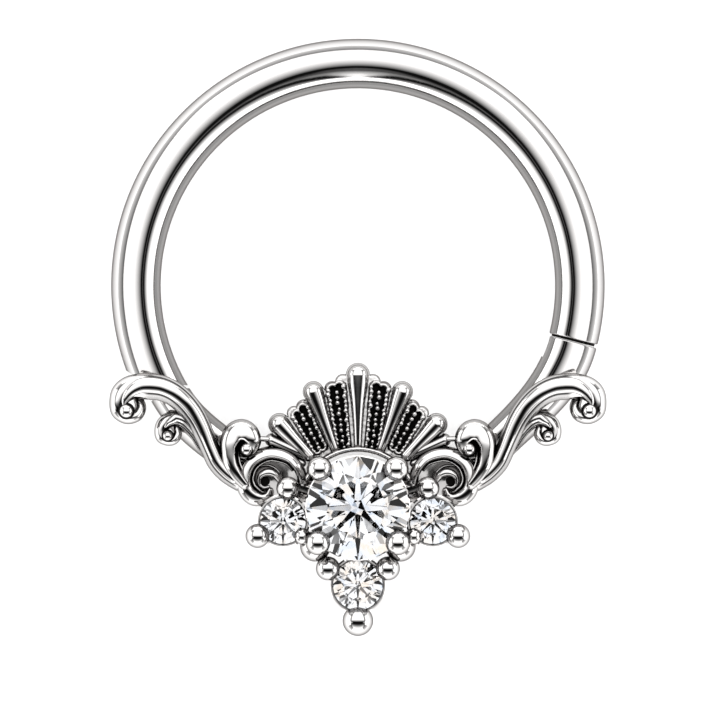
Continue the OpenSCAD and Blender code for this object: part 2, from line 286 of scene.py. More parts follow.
class Shell:
    """Closed skins of one piece, in millimetres from the hoop's middle, with painted shade on each point."""

    def __init__(self) -> None:
        """Starts with no skin."""
        self.points: list[np.ndarray] = []
        self.faces: list[tuple[int, ...]] = []
        self.soot: list[np.ndarray] = []
        self.count = 0

    def add(
        self, points: np.ndarray, faces: Iterable[Sequence[int]], soot: np.ndarray | float = 0.0
    ) -> "Shell":
        """Adds a skin.

        Args:
            points: its corners.
            faces: its faces, by the places of their corners.
            soot: how dark its painted shade is, from zero to one.

        Returns:
            This shell.
        """
        self.faces += [tuple(int(i) + self.count for i in face) for face in faces]
        self.points.append(points)
        self.soot.append(np.broadcast_to(np.asarray(soot, float), len(points)))
        self.count += len(points)
        return self

    def grid(self, grid: np.ndarray, soot: np.ndarray | float = 0.0) -> "Shell":
        """Adds a tube of rings, closed by a flat end on both sides.

        Args:
            grid: points by ring, by place in the ring, by coordinate.
            soot: how dark its painted shade is, from zero to one.

        Returns:
            This shell.
        """
        rings, sides, _ = grid.shape
        low = (np.arange(rings - 1) * sides)[:, None]
        j = np.arange(sides)[None, :]
        k = (j + 1) % sides
        walls = np.stack([low + j, low + k, low + sides + k, low + sides + j], axis=-1).reshape(-1, 4)
        last = (rings - 1) * sides
        ends = [tuple(range(sides))[::-1], tuple(range(last, last + sides))]
        return self.add(grid.reshape(-1, 3), [*walls.tolist(), *ends], soot)

    def bar(
        self, rows: np.ndarray, section: np.ndarray, soot: np.ndarray | float = 0.0, ends: str = ""
    ) -> "Shell":
        """Adds a bar swept through rows of x, y, half width, middle height and half height.

        Args:
            rows: its rows.
            section: its outline, in shares of the half width and height.
            soot: how dark its painted shade is, from zero to one.
            ends: "s" rounds the start, "e" the end.

        Returns:
            This shell.
        """
        if "s" in ends:
            rows = np.vstack([self._dome(rows[1], rows[0])[::-1], rows])
        if "e" in ends:
            rows = np.vstack([rows, self._dome(rows[-2], rows[-1])])
        side = across(rows)
        flat = rows[:, None, :2] + side[:, None, :] * (rows[:, 2, None] * section[None, :, 0])[..., None]
        z = rows[:, 3, None] + rows[:, 4, None] * section[None, :, 1]
        return self.grid(np.concatenate([flat, z[..., None]], axis=-1), soot)

    @staticmethod
    def _dome(before: np.ndarray, last: np.ndarray) -> np.ndarray:
        """Closes a bar's end with a dome.

        Args:
            before: the bar's last row but one.
            last: its last row.

        Returns:
            The dome's rows.
        """
        run = last[:2] - before[:2]
        run = run / np.linalg.norm(run) * last[2]
        rows = []
        for turn in np.radians(DOME_TURNS):
            row = last.copy()
            row[:2] += run * math.sin(turn)
            row[[2, 4]] *= math.cos(turn)
            rows.append(row)
        return np.array(rows)

    def ball(self, at: Row, radius: float, soot: float = 0.0, fine: int = 4) -> "Shell":
        """Adds a ball of even triangles.

        Args:
            at: its middle.
            radius: its radius.
            soot: how dark its painted shade is.
            fine: how often its triangles are split.

        Returns:
            This shell.
        """
        work = bmesh.new()
        bmesh.ops.create_icosphere(work, subdivisions=fine, radius=radius)
        points = np.array([v.co for v in work.verts]) + np.array(at)
        faces = [[v.index for v in f.verts] for f in work.faces]
        work.free()
        return self.add(points, faces, soot)

    def lathe(
        self, at: Row, outline: Sequence[Row], sides: int = 64, soot: Row | float = 0.0
    ) -> "Shell":
        """Adds a closed ring turned round an upright axis.

        Args:
            at: x and y of the axis.
            outline: closed outline of radius and height.
            sides: how many steps the turn has.
            soot: how dark its painted shade is, one value or one for each point of the outline.

        Returns:
            This shell.
        """
        line = np.asarray(outline, float)
        turn = np.linspace(0, 2 * math.pi, sides, endpoint=False)
        x = at[0] + line[None, :, 0] * np.cos(turn)[:, None]
        y = at[1] + line[None, :, 0] * np.sin(turn)[:, None]
        z = np.broadcast_to(line[None, :, 1], x.shape)
        points = np.stack([x, y, z], axis=-1).reshape(-1, 3)
        n = len(line)
        faces = [
            (i * n + j, i * n + (j + 1) % n, ((i + 1) % sides) * n + (j + 1) % n, ((i + 1) % sides) * n + j)
            for i in range(sides)
            for j in range(n)
        ]
        return self.add(points, faces, np.tile(np.broadcast_to(soot, n), sides))

    def box(self, low: Row, high: Row, turn: float = 0.0) -> "Shell":
        """Adds a block.

        Args:
            low: its lowest corner.
            high: its highest corner.
            turn: how far it is turned about the hoop's axis, in degrees.

        Returns:
            This shell.
        """
        c, s = math.cos(math.radians(turn)), math.sin(math.radians(turn))
        flat = [(low[0], low[1]), (high[0], low[1]), (high[0], high[1]), (low[0], high[1])]
        points = np.array([(x * c - y * s, x * s + y * c, z) for z in (low[2], high[2]) for x, y in flat])
        sides = [(i, (i + 1) % 4, 4 + (i + 1) % 4, 4 + i) for i in range(4)]
        return self.add(points, [(3, 2, 1, 0), (4, 5, 6, 7), *sides])

    def prism(self, flat: np.ndarray, low: float, high: float) -> "Shell":
        """Adds an upright block between two heights, from x and y of its corners."""
        return self.grid(np.array([np.column_stack([flat, np.full(len(flat), z)]) for z in (low, high)]))

    def disc(self, at: Row, radius: float, low: float, high: float, sides: int = 48) -> "Shell":
        """Adds an upright round disc between two heights."""
        turn = np.linspace(0, 2 * math.pi, sides, endpoint=False)
        return self.prism(np.stack([np.cos(turn), np.sin(turn)], axis=1) * radius + np.array(at), low, high)

    def mirrored(self) -> "Shell":
        """Gives the same skins on the other side of the hoop's middle."""
        points = np.vstack(self.points) * np.array([-1, 1, 1])
        return Shell().add(points, [face[::-1] for face in self.faces], np.concatenate(self.soot))

    def joined(self, other: "Shell") -> "Shell":
        """Adds all skins of another shell."""
        return self.add(np.vstack(other.points), other.faces, np.concatenate(other.soot))

    def _mesh(self, name: str, scale: float = 1.0, lift: float = 0.0) -> bpy.types.Mesh:
        """Makes a mesh with outward faces and the painted shade as an attribute.

        Args:
            name: the mesh's name.
            scale: how long a millimetre is in it.
            lift: how far it moves up the hoop, in millimetres.

        Returns:
            The mesh.
        """
        mesh = bpy.data.meshes.new(name)
        points = (np.vstack(self.points) + np.array([0, lift, 0])) * scale
        mesh.from_pydata(points.tolist(), [], self.faces)
        mesh.attributes.new("soot", "FLOAT", "POINT").data.foreach_set("value", np.concatenate(self.soot))
        work = bmesh.new()
        work.from_mesh(mesh)
        bmesh.ops.recalc_face_normals(work, faces=work.faces)
        work.to_mesh(mesh)
        work.free()
        return mesh

    def carved(self, operation: str, tools: Iterable["Shell"]) -> "Shell":
        """Cuts other shells out of this one, or fuses them to it.

        Args:
            operation: "DIFFERENCE" or "UNION".
            tools: the shells, one after the other.

        Returns:
            The new shell, with no painted shade.
        """
        work = add_object("carving", self._mesh("carving"))
        cutters = []
        for tool in tools:
            cutter = add_object("cutter", tool._mesh("cutter"))
            change = work.modifiers.new("carve", "BOOLEAN")
            change.object, change.operation, change.solver = cutter, operation, "EXACT"
            cutters.append(cutter)
        mesh = bpy.data.meshes.new_from_object(work.evaluated_get(bpy.context.evaluated_depsgraph_get()))
        points = np.array([v.co for v in mesh.vertices])
        made = Shell().add(points, [tuple(p.vertices) for p in mesh.polygons])
        for spare in [work, *cutters]:
            bpy.data.objects.remove(spare)
        bpy.data.meshes.remove(mesh)
        return made

    def build(self, name: str, material: bpy.types.Material, crease: float = 40.0) -> bpy.types.Object:
        """Makes the object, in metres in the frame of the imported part.

        Args:
            name: the piece's name.
            material: its finish.
            crease: the angle in degrees past which an edge stays sharp.

        Returns:
            The new object.
        """
        mesh = self._mesh(name, MM, HOOP_Y)
        mesh.materials.append(material)
        mesh.shade_smooth()
        mesh.set_sharp_from_angle(angle=math.radians(crease))
        return add_object(name, mesh)


@dataclass(frozen=True)
class PolishedSteel:
    """Surgical steel, cast or drawn, then tumbled and buffed to a mirror.

    The eye sees the softboxes in it with crisp edges and a touch of waviness from the buffing. Its colour
    carries painted shade: dark in recesses, grey on steep flanks, and dark where its points carry painted
    shade.
    """

    name: str
    bright: str = "#E9E7E6"
    # The colour that painted shade darkens the metal to
    patina: str = "#171615"
    # Where painted shade is full, the glancing shine takes this grey tint
    rim: str = "#8E8886"
    # Roughness where it is smooth and where it is worn, and what the painted shade adds to it
    smooth: float = 0.035
    worn: float = 0.085
    soot_rough: float = 0.4
    # The grit's grain, and between which values of its noise the metal goes from smooth to worn
    grit_mm: float = 0.05
    grit_span: tuple[float, float] = (0.3, 0.7)
    wave_mm: float = 0.9
    wave_depth_mm: float = 0.004
    # Painted shade on the flanks: how far up them it starts and is full, by the normal's rise, and how grey
    # it is
    flank: tuple[float, float, float] = (0.72, 0.25, 0.8)
    # Painted shade in recesses: how wide a recess is, between which shares of open sky it clears, and how
    # black it is
    recess_mm: float = 0.22
    recess_span: tuple[float, float] = (0.25, 0.75)
    recess_share: float = 0.9
    # Painted shade on the flank that faces the hoop's middle: how grey it is, and how grey where it starts
    inside: float = 0.0
    inside_start: float = 0.74
    # Where that painted shade starts and is full, and where it thins, by how the normal faces outward
    shade_edge: tuple[float, float] = (-0.645, -0.685)
    shade_thins: tuple[float, float] = (-0.78, -0.86)

    def _inner_shade(
        self, tree: bpy.types.NodeTree, place: bpy.types.NodeSocket, normal: bpy.types.NodeSocket
    ) -> bpy.types.Node:
        """Paints shade on the flank that faces the hoop's middle.

        Args:
            tree: the material's nodes.
            place: the socket of each point's place.
            normal: the socket of each point's normal.

        Returns:
            The node that says how grey each point is.
        """
        centre = (0, HOOP_Y * MM, WIRE_R * MM)
        outward = add_node(tree, "VectorMath", {0: place, 1: centre}, operation="SUBTRACT")
        along = add_node(tree, "VectorMath", {0: outward}, operation="NORMALIZE")
        facing = add_node(tree, "VectorMath", {0: along, 1: normal}, operation="DOT_PRODUCT")
        start = add_node(tree, "MapRange", {
            "Value": facing, "From Min": self.shade_edge[0], "From Max": self.shade_edge[1]})
        # The painted shade is darkest where it starts
        share = add_node(tree, "MapRange", {
            "Value": facing, "From Min": self.shade_thins[0], "From Max": self.shade_thins[1],
            "To Min": self.inside_start, "To Max": self.inside})
        return add_node(tree, "Math", {0: start, 1: share}, operation="MULTIPLY")

    def material(self) -> bpy.types.Material:
        """Makes the Blender material.

        Returns:
            A metal whose colour falls off with painted shade, from its points, its recesses and its steep
            flanks, and whose gloss falls off with its points' painted shade.
        """
        made, shader, place = start_material(self.name)
        tree = made.node_tree
        grit = add_node(tree, "TexNoise", {"Vector": place, "Scale": 1 / (self.grit_mm * MM), "Detail": 3.0})
        wave = add_node(tree, "TexNoise", {"Vector": place, "Scale": 1 / (self.wave_mm * MM), "Detail": 1.0})
        # Each point's painted shade, as its shell carries it
        soot = add_node(tree, "Attribute", attribute_name="soot").outputs["Fac"]
        # Painted shade: a recess darkens by how little open sky it sees
        sky = add_node(tree, "AmbientOcclusion", {"Distance": self.recess_mm * MM}, samples=6)
        shade = add_node(tree, "MapRange", {
            "Value": sky.outputs["AO"], "From Min": self.recess_span[0], "From Max": self.recess_span[1],
            "To Min": self.recess_share, "To Max": 0.0})
        # Painted shade: the flanks are drawn greyer, the less their normal rises
        normal = add_node(tree, "NewGeometry").outputs["Normal"]
        rise = add_node(tree, "SeparateXYZ", {0: normal}).outputs["Z"]
        steep = add_node(tree, "MapRange", {
            "Value": add_node(tree, "Math", {0: rise}, operation="ABSOLUTE"),
            "From Min": self.flank[0], "From Max": self.flank[1], "To Min": 0.0, "To Max": self.flank[2]})
        # The painted shade of recesses and flanks together
        surface_shade = add_node(tree, "Math", {0: shade, 1: steep}, operation="MAXIMUM")
        if self.inside:
            inner_shade = self._inner_shade(tree, place, normal)
            surface_shade = add_node(tree, "Math", {0: surface_shade, 1: inner_shade}, operation="MAXIMUM")
        black = add_node(tree, "Math", {0: soot, 1: surface_shade}, operation="MAXIMUM")
        colour = add_node(tree, "Mix", {
            "Factor": black, "A": linear(self.bright), "B": linear(self.patina)}, data_type="RGBA")
        gloss = add_node(tree, "MapRange", {
            "Value": grit, "From Min": self.grit_span[0], "From Max": self.grit_span[1],
            "To Min": self.smooth, "To Max": self.worn})
        dull = add_node(tree, "Math", {0: soot, 1: self.soot_rough, 2: gloss}, operation="MULTIPLY_ADD")
        bump = add_node(tree, "Bump", {"Height": wave, "Distance": self.wave_depth_mm * MM, "Strength": 1.0})
        # Painted shade also takes the glancing shine off a ball's rim
        rim = add_node(tree, "Mix", {
            "Factor": surface_shade, "A": (1, 1, 1, 1), "B": linear(self.rim)}, data_type="RGBA")
        feed(shader, {"Base Color": colour, "Roughness": dull, "Specular Tint": rim, "Normal": bump,
                      "Metallic": 1.0})
        return made


@dataclass(frozen=True)
class CutZirconia:
    """Clear cubic zirconia, sawn, faceted and polished.

    The eye sees bright and dark facets side by side. Its faint blue and amber fire is painted into the
    stone's colour as patches of tint.
    """

    name: str = "cubic zirconia, brilliant cut"
    clear: str = "#FBFCFF"
    blue: str = "#DCE8FA"
    amber: str = "#FCF1E6"
    ior: float = 2.16
    # Painted fire: how large a patch is, its shift for each tint, and where in its noise it starts and is
    # full
    fire_mm: float = 0.35
    shifts: tuple[float, float] = (0.0, 0.5)
    fire_span: tuple[float, float] = (0.64, 0.7)

    def material(self) -> bpy.types.Material:
        """Makes the Blender material.

        Returns:
            A clear solid with patches of painted fire.
        """
        made, shader, place = start_material(self.name)
        tree = made.node_tree
        colour: object = linear(self.clear)
        # Patches of blue and amber tint paint the fire into the clear stone's colour
        for tint, shift in zip((self.blue, self.amber), self.shifts):
            moved = add_node(tree, "VectorMath", {0: place, 1: (shift, 0, 0)}, operation="ADD")
            noise = add_node(tree, "TexNoise", {
                "Vector": moved, "Scale": 1 / (self.fire_mm * MM), "Detail": 0.0})
            patch = add_node(tree, "MapRange", {
                "Value": noise, "From Min": self.fire_span[0], "From Max": self.fire_span[1]})
            colour = add_node(tree, "Mix", {
                "Factor": patch, "A": colour, "B": linear(tint)}, data_type="RGBA")
        feed(shader, {"Base Color": colour, "Roughness": 0.0, "IOR": self.ior, "Transmission Weight": 1.0})
        return made


def box_of(node: str) -> tuple[np.ndarray, np.ndarray]:
    """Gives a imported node's box in millimetres."""
    low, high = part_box(node)
    return np.array(low) / MM, np.array(high) / MM


ARC_HIGH = box_of("hinged_arc")[1]
# The wire lies on the floor, so its thickness is the arc's height
WIRE_R = ARC_HIGH[2] / 2
OUTER_R = ARC_HIGH[0]
MIDDLE_R = OUTER_R - WIRE_R
INNER_R = OUTER_R - 2 * WIRE_R
# A cutter through the wire starts and ends a little past it
CUT_LOW, CUT_HIGH = -0.1, 2 * WIRE_R + 0.1
HOOP_Y = ARC_HIGH[1] - OUTER_R
PIN_LOW, PIN_HIGH = box_of("hinge_pin")
PIN_AT = ((PIN_LOW + PIN_HIGH) / 2)[:2] - np.array([0, HOOP_Y])
PIN_R = (PIN_HIGH[0] - PIN_LOW[0]) / 2


@dataclass
class Piece:
    """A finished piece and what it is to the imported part."""

    name: str
    body: Body
    slot: Slot
    stands_for: tuple[str, ...]
    lit: Lit

    def place(self, shell: Shell, material: bpy.types.Material, crease: float = 40.0) -> bpy.types.Object:
        """Builds the piece, lets it ride on its body and puts it in its lighting set.

        Args:
            shell: its skins.
            material: its finish.
            crease: the angle in degrees past which an edge stays sharp.

        Returns:
            The piece.
        """
        made = shell.build(self.name, material, crease)
        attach(made, self.body.value)
        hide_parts(*self.stands_for)
        LIGHT_SETS[self.lit].objects.link(made)
        LOG.info("%s: %d points on body %s", self.name, shell.count, self.body.value)
        return made


LIGHT_SETS = {lit: bpy.data.collections.new(lit.value) for lit in Lit}
NO_SHADOWS = bpy.data.collections.new("casts_no_shadow")


def front_piece(name: str, lit: Lit = Lit.FRONT) -> Piece:
    """A piece of the casting."""
    return Piece(name, Body.FRONT, Slot.CASTING, ("front_casting",), lit)


@dataclass
class Hoop:
    """The round wire: a long hinged arc and a short lower arc that carries the front."""

    material: bpy.types.Material
    seam_angle: float = 14.3
    seam_gap: float = 0.07
    # The lower wire's half width behind the front, and how far it steps in there
    lower_r: float = 0.48
    inset: float = 0.17
    # Degrees below the horizontal between which the lower wire narrows and steps in at the
    # seam, and between which it steps in at the hinge, where it starts narrow
    seam_taper: tuple[float, float] = (16.0, 46.0)
    hinge_step: tuple[float, float] = (31.0, 56.0)
    # The hinge eye's radius, the thickness of eye and tongue, and their play in fork and slot
    eye_r: float = 0.32
    tongue_t: float = 0.38
    play: float = 0.03
    # The clasp tongue's length past the seam, its width, and how deep its root sits in the wire
    clasp: tuple[float, float, float] = (0.5, 0.4, 0.3)
    # A black disc of painted shade in the seam draws it as a dark line: its radius, and its ends in half gaps
    # from the seam's middle
    seam_shade_r: float = 0.53
    seam_shade_ends: tuple[float, float] = (1.5, -0.5)
    # How far the fork's cheeks reach from the wire's middle, and the wedge that clears the swing
    cheek_reach: float = 0.42
    relief_angle: float = 32.0
    # A sawn edge's radius, and the turns in degrees at which its curve has rings
    edge: float = 0.035
    edge_turns: tuple[float, ...] = (90, 70, 50, 25, 0)
    # How many degrees each wire is longer at the hinge, where it is then cut back, and its rings
    arc_spare: float = 4.0
    lower_spare: float = 8.0
    arc_rings: int = 300
    lower_rings: int = 180
    sides: int = 64
    crease: float = 30.0

    def _half_gap(self) -> float:
        """Half the seam's gap, in degrees round the hoop."""
        return math.degrees(math.asin(self.seam_gap / 2 / MIDDLE_R))

    def _round_edge(self, rows: np.ndarray) -> np.ndarray:
        """Rounds the wire's edge at its first row, where it was sawn through.

        Args:
            rows: the wire's rows.

        Returns:
            The rows, with a few more that step in.
        """
        first, run = rows[0], rows[0, :2] - rows[1, :2]
        run = run / np.linalg.norm(run)
        # Each edge row lies back from the sawn face and comes in by the edge's curve
        extra = []
        for turn in np.radians(self.edge_turns):
            row = first.copy()
            row[:2] += run * self.edge * (math.sin(turn) - 1)
            row[[2, 4]] -= self.edge * (1 - math.cos(turn))
            extra.append(row)
        # Rows any nearer would crowd the curve
        keep = np.linalg.norm(rows[:, :2] - first[:2], axis=1) > self.edge * 1.5
        return np.vstack([extra, rows[keep]])

    @staticmethod
    def _round_rows(degrees: np.ndarray, radius: float) -> np.ndarray:
        """Lays a round bar along the middle of the hoop's wire.

        Args:
            degrees: the angle round the hoop of each row.
            radius: the bar's own radius.

        Returns:
            Its rows.
        """
        a, half, high = np.radians(degrees), np.full(len(degrees), radius), np.full(len(degrees), WIRE_R)
        return np.stack([MIDDLE_R * np.cos(a), MIDDLE_R * np.sin(a), half, high, half], axis=1)

    def _past_hinge(self, side: int) -> Shell:
        """Blocks out what lies past the hinge seam at the left.

        Args:
            side: 1 for all above the seam, -1 for all below it.

        Returns:
            A block that takes in the wire there.
        """
        size, outward = 3.0, 1.2
        x, y = PIN_AT[0] - outward, PIN_AT[1]
        low = y - self.seam_gap / 2 if side > 0 else y - size + self.seam_gap / 2
        return Shell().box((x, low, CUT_LOW), (x + size, low + size, CUT_HIGH))

    def _relief(self, side: int) -> Shell:
        """Blocks out the wedge outward of the pin that lets the arc swing.

        Args:
            side: 1 for the wedge above the seam, -1 for the one below it.

        Returns:
            The wedge.
        """
        reach = 1.5
        rise = side * reach * math.tan(math.radians(self.relief_angle))
        return Shell().prism(np.array([[0, 0], [-reach, 0], [-reach, rise]]) + PIN_AT, CUT_LOW, CUT_HIGH)

    def _pin_hole(self) -> Shell:
        """The hole that the pin runs in."""
        return Shell().disc(PIN_AT, PIN_R + self.play / 2, CUT_LOW, CUT_HIGH)

    def _seam_bar(self, depth: float, inward: float, outward: float, thickness: float) -> Shell:
        """The bar through the open seam, from depth past the seam back to its root."""
        return Shell().box((MIDDLE_R - inward, -depth, WIRE_R - thickness / 2),
                           (MIDDLE_R + outward, self.clasp[2], WIRE_R + thickness / 2), -self.seam_angle)

    def hinged_arc(self) -> bpy.types.Object:
        """Builds the long arc with its hinge eye and clasp tongue.

        Returns:
            The piece.
        """
        half_gap = self._half_gap()
        end = 180 + math.degrees(math.asin(-PIN_AT[1] / INNER_R)) + self.arc_spare
        rows = self._round_rows(np.linspace(half_gap - self.seam_angle, end, self.arc_rings), WIRE_R)
        wire = Shell().bar(self._round_edge(rows), round_section(self.sides))
        low, high = WIRE_R - self.tongue_t / 2, WIRE_R + self.tongue_t / 2
        clear = self.eye_r + self.play
        wire = wire.carved("DIFFERENCE", [
            self._past_hinge(-1), self._relief(1),
            Shell().disc(PIN_AT, clear, CUT_LOW, low), Shell().disc(PIN_AT, clear, high, CUT_HIGH)])
        length, width, _ = self.clasp
        wire = wire.carved("UNION", [
            Shell().disc(PIN_AT, self.eye_r, low, high),
            self._seam_bar(length, width / 2, width / 2, self.tongue_t)])
        wire = wire.carved("DIFFERENCE", [self._pin_hole()])
        # Painted shade: a black disc inside the seam shows as the dark line between the wire's ends
        start, stop = self.seam_shade_ends
        seam = np.linspace(half_gap * start, half_gap * stop, 4) - self.seam_angle
        wire.bar(self._round_rows(seam, self.seam_shade_r), round_section(self.sides), soot=1.0)
        piece = Piece("hinged_arc_wire", Body.ARC, Slot.WIRE, ("hinged_arc",), Lit.HOOP)
        return piece.place(wire, self.material, self.crease)

    def _lower_row(self, angle: float) -> Row:
        """Works out where the lower wire runs and how wide it is, as it steps in behind the front.

        Args:
            angle: an angle round the hoop, in degrees.

        Returns:
            The wire's row there.
        """
        at_hinge = angle < -90
        narrowing = 1.0 if at_hinge else ease(*self.seam_taper, -angle)
        step = ease(*self.hinge_step, 180 + angle) if at_hinge else narrowing
        half_w = WIRE_R + (self.lower_r - WIRE_R) * narrowing
        radius = INNER_R - self.inset * step + half_w
        a = math.radians(angle)
        return radius * math.cos(a), radius * math.sin(a), half_w, WIRE_R, WIRE_R

    def lower_arc(self) -> bpy.types.Object:
        """Builds the short arc behind the front, with the hinge's fork and the clasp's slot.

        Returns:
            The piece.
        """
        end = math.degrees(math.atan2(PIN_AT[1], PIN_AT[0])) - self.lower_spare
        angles = np.linspace(-self.seam_angle - self._half_gap(), end, self.lower_rings)
        rows = np.array([self._lower_row(a) for a in angles])
        wire = Shell().bar(self._round_edge(rows), round_section(self.sides))
        wire = wire.carved("DIFFERENCE", [self._past_hinge(1), self._relief(-1)])
        cheeks = Shell().disc(PIN_AT, self.eye_r, WIRE_R - self.cheek_reach, WIRE_R + self.cheek_reach)
        wire = wire.carved("UNION", [cheeks])
        length, width, _ = self.clasp
        half_slot = self.tongue_t / 2 + self.play
        wire = wire.carved("DIFFERENCE", [
            Shell().disc(PIN_AT, self.eye_r + self.play, WIRE_R - half_slot, WIRE_R + half_slot),
            self._pin_hole(),
            self._seam_bar(length + 2 * self.play, 2 * WIRE_R, width / 2 + 2 * self.play, 2 * half_slot)])
        return front_piece("lower_arc_wire", Lit.HOOP).place(wire, self.material, self.crease)

    def dress_pin(self) -> None:
        """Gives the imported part's own pin its finish and its light."""
        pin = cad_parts["hinge_pin"]
        pin.data.materials.clear()
        pin.data.materials.append(self.material)
        LIGHT_SETS[Lit.HOOP].objects.link(pin)
        LOG.info("hinge_pin: the packed part's own mesh")


@dataclass
class Scrollwork:
    """The scrolls, curls, hooked beads and volutes on both sides of the shell."""

    material: bpy.types.Material
    # A copy of the casting's finish with lighter painted shade
    light: bpy.types.Material
    steps: int = 10
    sides: int = 32
    # The scroll's foot keeps above this height from here up the hoop, over the hinge
    clear_y: float = -2.8
    clear_z: float = 1.24
    # A row is x, y, half width, middle height and half height, from the foot to the coil's end
    scroll: tuple[Row, ...] = (
        (2.86, -4.76, 0.19, 1.35, 0.30), (3.15, -4.54, 0.22, 1.37, 0.30), (3.39, -4.27, 0.23, 1.39, 0.30),
        (3.54, -3.96, 0.23, 1.41, 0.30), (3.66, -3.67, 0.24, 1.43, 0.30), (3.80, -3.36, 0.26, 1.46, 0.30),
        (3.97, -3.07, 0.28, 1.50, 0.30), (4.19, -2.80, 0.29, 1.56, 0.30), (4.45, -2.59, 0.30, 1.60, 0.30),
        (4.72, -2.47, 0.31, 1.61, 0.30), (5.01, -2.43, 0.32, 1.62, 0.30), (5.27, -2.43, 0.31, 1.62, 0.30),
        (5.51, -2.48, 0.29, 1.62, 0.29), (5.68, -2.62, 0.27, 1.62, 0.28), (5.76, -2.83, 0.22, 1.62, 0.27),
        (5.73, -3.04, 0.20, 1.60, 0.26), (5.54, -3.17, 0.17, 1.56, 0.25), (5.32, -3.11, 0.16, 1.50, 0.24),
        (5.23, -2.93, 0.14, 1.44, 0.22), (5.28, -2.74, 0.12, 1.38, 0.20))
    ridge_end: tuple[Row, ...] = (
        (5.20, -2.41, 0.18, 1.79, 0.105), (5.39, -2.50, 0.15, 1.79, 0.10), (5.52, -2.62, 0.12, 1.79, 0.09),
        (5.60, -2.76, 0.085, 1.78, 0.08), (5.62, -2.89, 0.045, 1.76, 0.06))
    scroll_ball: Row = (5.565, -3.02, 1.74, 0.175)
    curl: tuple[Row, ...] = (
        (3.66, -3.98, 0.13, 1.20, 0.20), (3.73, -3.84, 0.16, 1.22, 0.21), (3.87, -3.60, 0.17, 1.24, 0.21),
        (4.02, -3.41, 0.18, 1.25, 0.22), (4.19, -3.26, 0.19, 1.26, 0.22), (4.38, -3.20, 0.19, 1.26, 0.22),
        (4.55, -3.24, 0.19, 1.26, 0.22), (4.68, -3.35, 0.18, 1.26, 0.21), (4.74, -3.50, 0.16, 1.26, 0.20),
        (4.72, -3.66, 0.14, 1.26, 0.20), (4.57, -3.74, 0.12, 1.26, 0.19), (4.43, -3.71, 0.12, 1.26, 0.18),
        (4.34, -3.58, 0.11, 1.24, 0.17), (4.36, -3.43, 0.08, 1.22, 0.16))
    curl_end: tuple[Row, ...] = (
        (4.47, -3.235, 0.095, 1.38, 0.085), (4.56, -3.30, 0.07, 1.38, 0.08), (4.62, -3.39, 0.045, 1.37, 0.06))
    curl_ball: Row = (4.575, -3.615, 1.38, 0.125)
    hook: tuple[Row, ...] = (
        (2.72, -4.80, 0.12, 1.38, 0.33), (2.84, -4.66, 0.14, 1.40, 0.33), (2.96, -4.49, 0.16, 1.42, 0.33),
        (3.06, -4.27, 0.18, 1.43, 0.33), (3.09, -4.03, 0.19, 1.44, 0.33), (3.07, -3.79, 0.22, 1.45, 0.33),
        (2.97, -3.60, 0.25, 1.45, 0.33), (2.81, -3.52, 0.26, 1.46, 0.33), (2.65, -3.58, 0.24, 1.46, 0.32),
        (2.54, -3.74, 0.19, 1.45, 0.30), (2.55, -3.92, 0.13, 1.43, 0.26), (2.64, -4.03, 0.10, 1.40, 0.22))
    hook_ball: Row = (2.68, -3.94, 1.62, 0.16)
    tail: tuple[Row, ...] = (
        (2.94, -4.10, 0.05, 1.26, 0.16), (2.83, -4.13, 0.07, 1.28, 0.18), (2.68, -4.14, 0.08, 1.28, 0.18),
        (2.50, -4.07, 0.08, 1.28, 0.18), (2.30, -3.97, 0.07, 1.26, 0.17), (2.12, -3.92, 0.06, 1.24, 0.16))
    volute_band: tuple[Row, ...] = (
        (1.34, -4.72, 0.09, 1.28, 0.20), (1.38, -4.55, 0.10, 1.32, 0.23), (1.46, -4.37, 0.10, 1.36, 0.24),
        (1.62, -4.19, 0.10, 1.36, 0.24), (1.86, -4.08, 0.11, 1.36, 0.24), (2.12, -4.05, 0.11, 1.36, 0.24),
        (2.37, -4.12, 0.12, 1.36, 0.24), (2.58, -4.27, 0.13, 1.36, 0.24), (2.70, -4.48, 0.14, 1.36, 0.24),
        (2.73, -4.71, 0.14, 1.36, 0.24), (2.66, -4.94, 0.15, 1.36, 0.24), (2.50, -5.09, 0.15, 1.35, 0.24),
        (2.31, -5.13, 0.12, 1.34, 0.23), (2.17, -5.06, 0.09, 1.32, 0.21), (2.11, -4.93, 0.06, 1.30, 0.18))
    volute_eye: Row = (2.225, -4.707)
    comma: tuple[Row, ...] = (
        (1.90, -4.70, 0.055, 1.38, 0.08), (1.99, -4.56, 0.096, 1.40, 0.11), (2.14, -4.50, 0.105, 1.42, 0.12),
        (2.29, -4.54, 0.090, 1.42, 0.12), (2.37, -4.65, 0.062, 1.41, 0.10), (2.36, -4.78, 0.048, 1.40, 0.09),
        (2.26, -4.86, 0.042, 1.39, 0.08), (2.14, -4.84, 0.035, 1.38, 0.07))
    # The small bar between hook and volute
    hook_tie: tuple[Row, ...] = ((2.52, -3.68, 0.065, 1.3, 0.14), (2.12, -3.70, 0.065, 1.3, 0.14))
    # The volute's rolled eye: first and last angle, first and last radius, and its bar's rows
    eye_turn: Row = (150, 10)
    eye_radii: Row = (0.39, 0.37)
    eye_bar: Row = (0.03, 1.28, 0.1)
    # The web is dished and carries painted shade. A row is radius, height and how dark its painted shade is
    dish: tuple[Row, ...] = (
        (0.004, 1.22, 0.4), (0.2, 1.24, 0.38), (0.4, 1.32, 0.36), (0.55, 1.42, 0.4), (0.62, 1.48, 0.4),
        (0.62, 1.0, 0.5), (0.004, 0.95, 0.5))
    dish_at: Row = (2.08, -4.70)
    # A black plug of painted shade in the eye, as an outline of radius and height
    eye_shade: tuple[Row, ...] = ((0.004, 1.34), (0.11, 1.34), (0.11, 1.1), (0.004, 1.1))
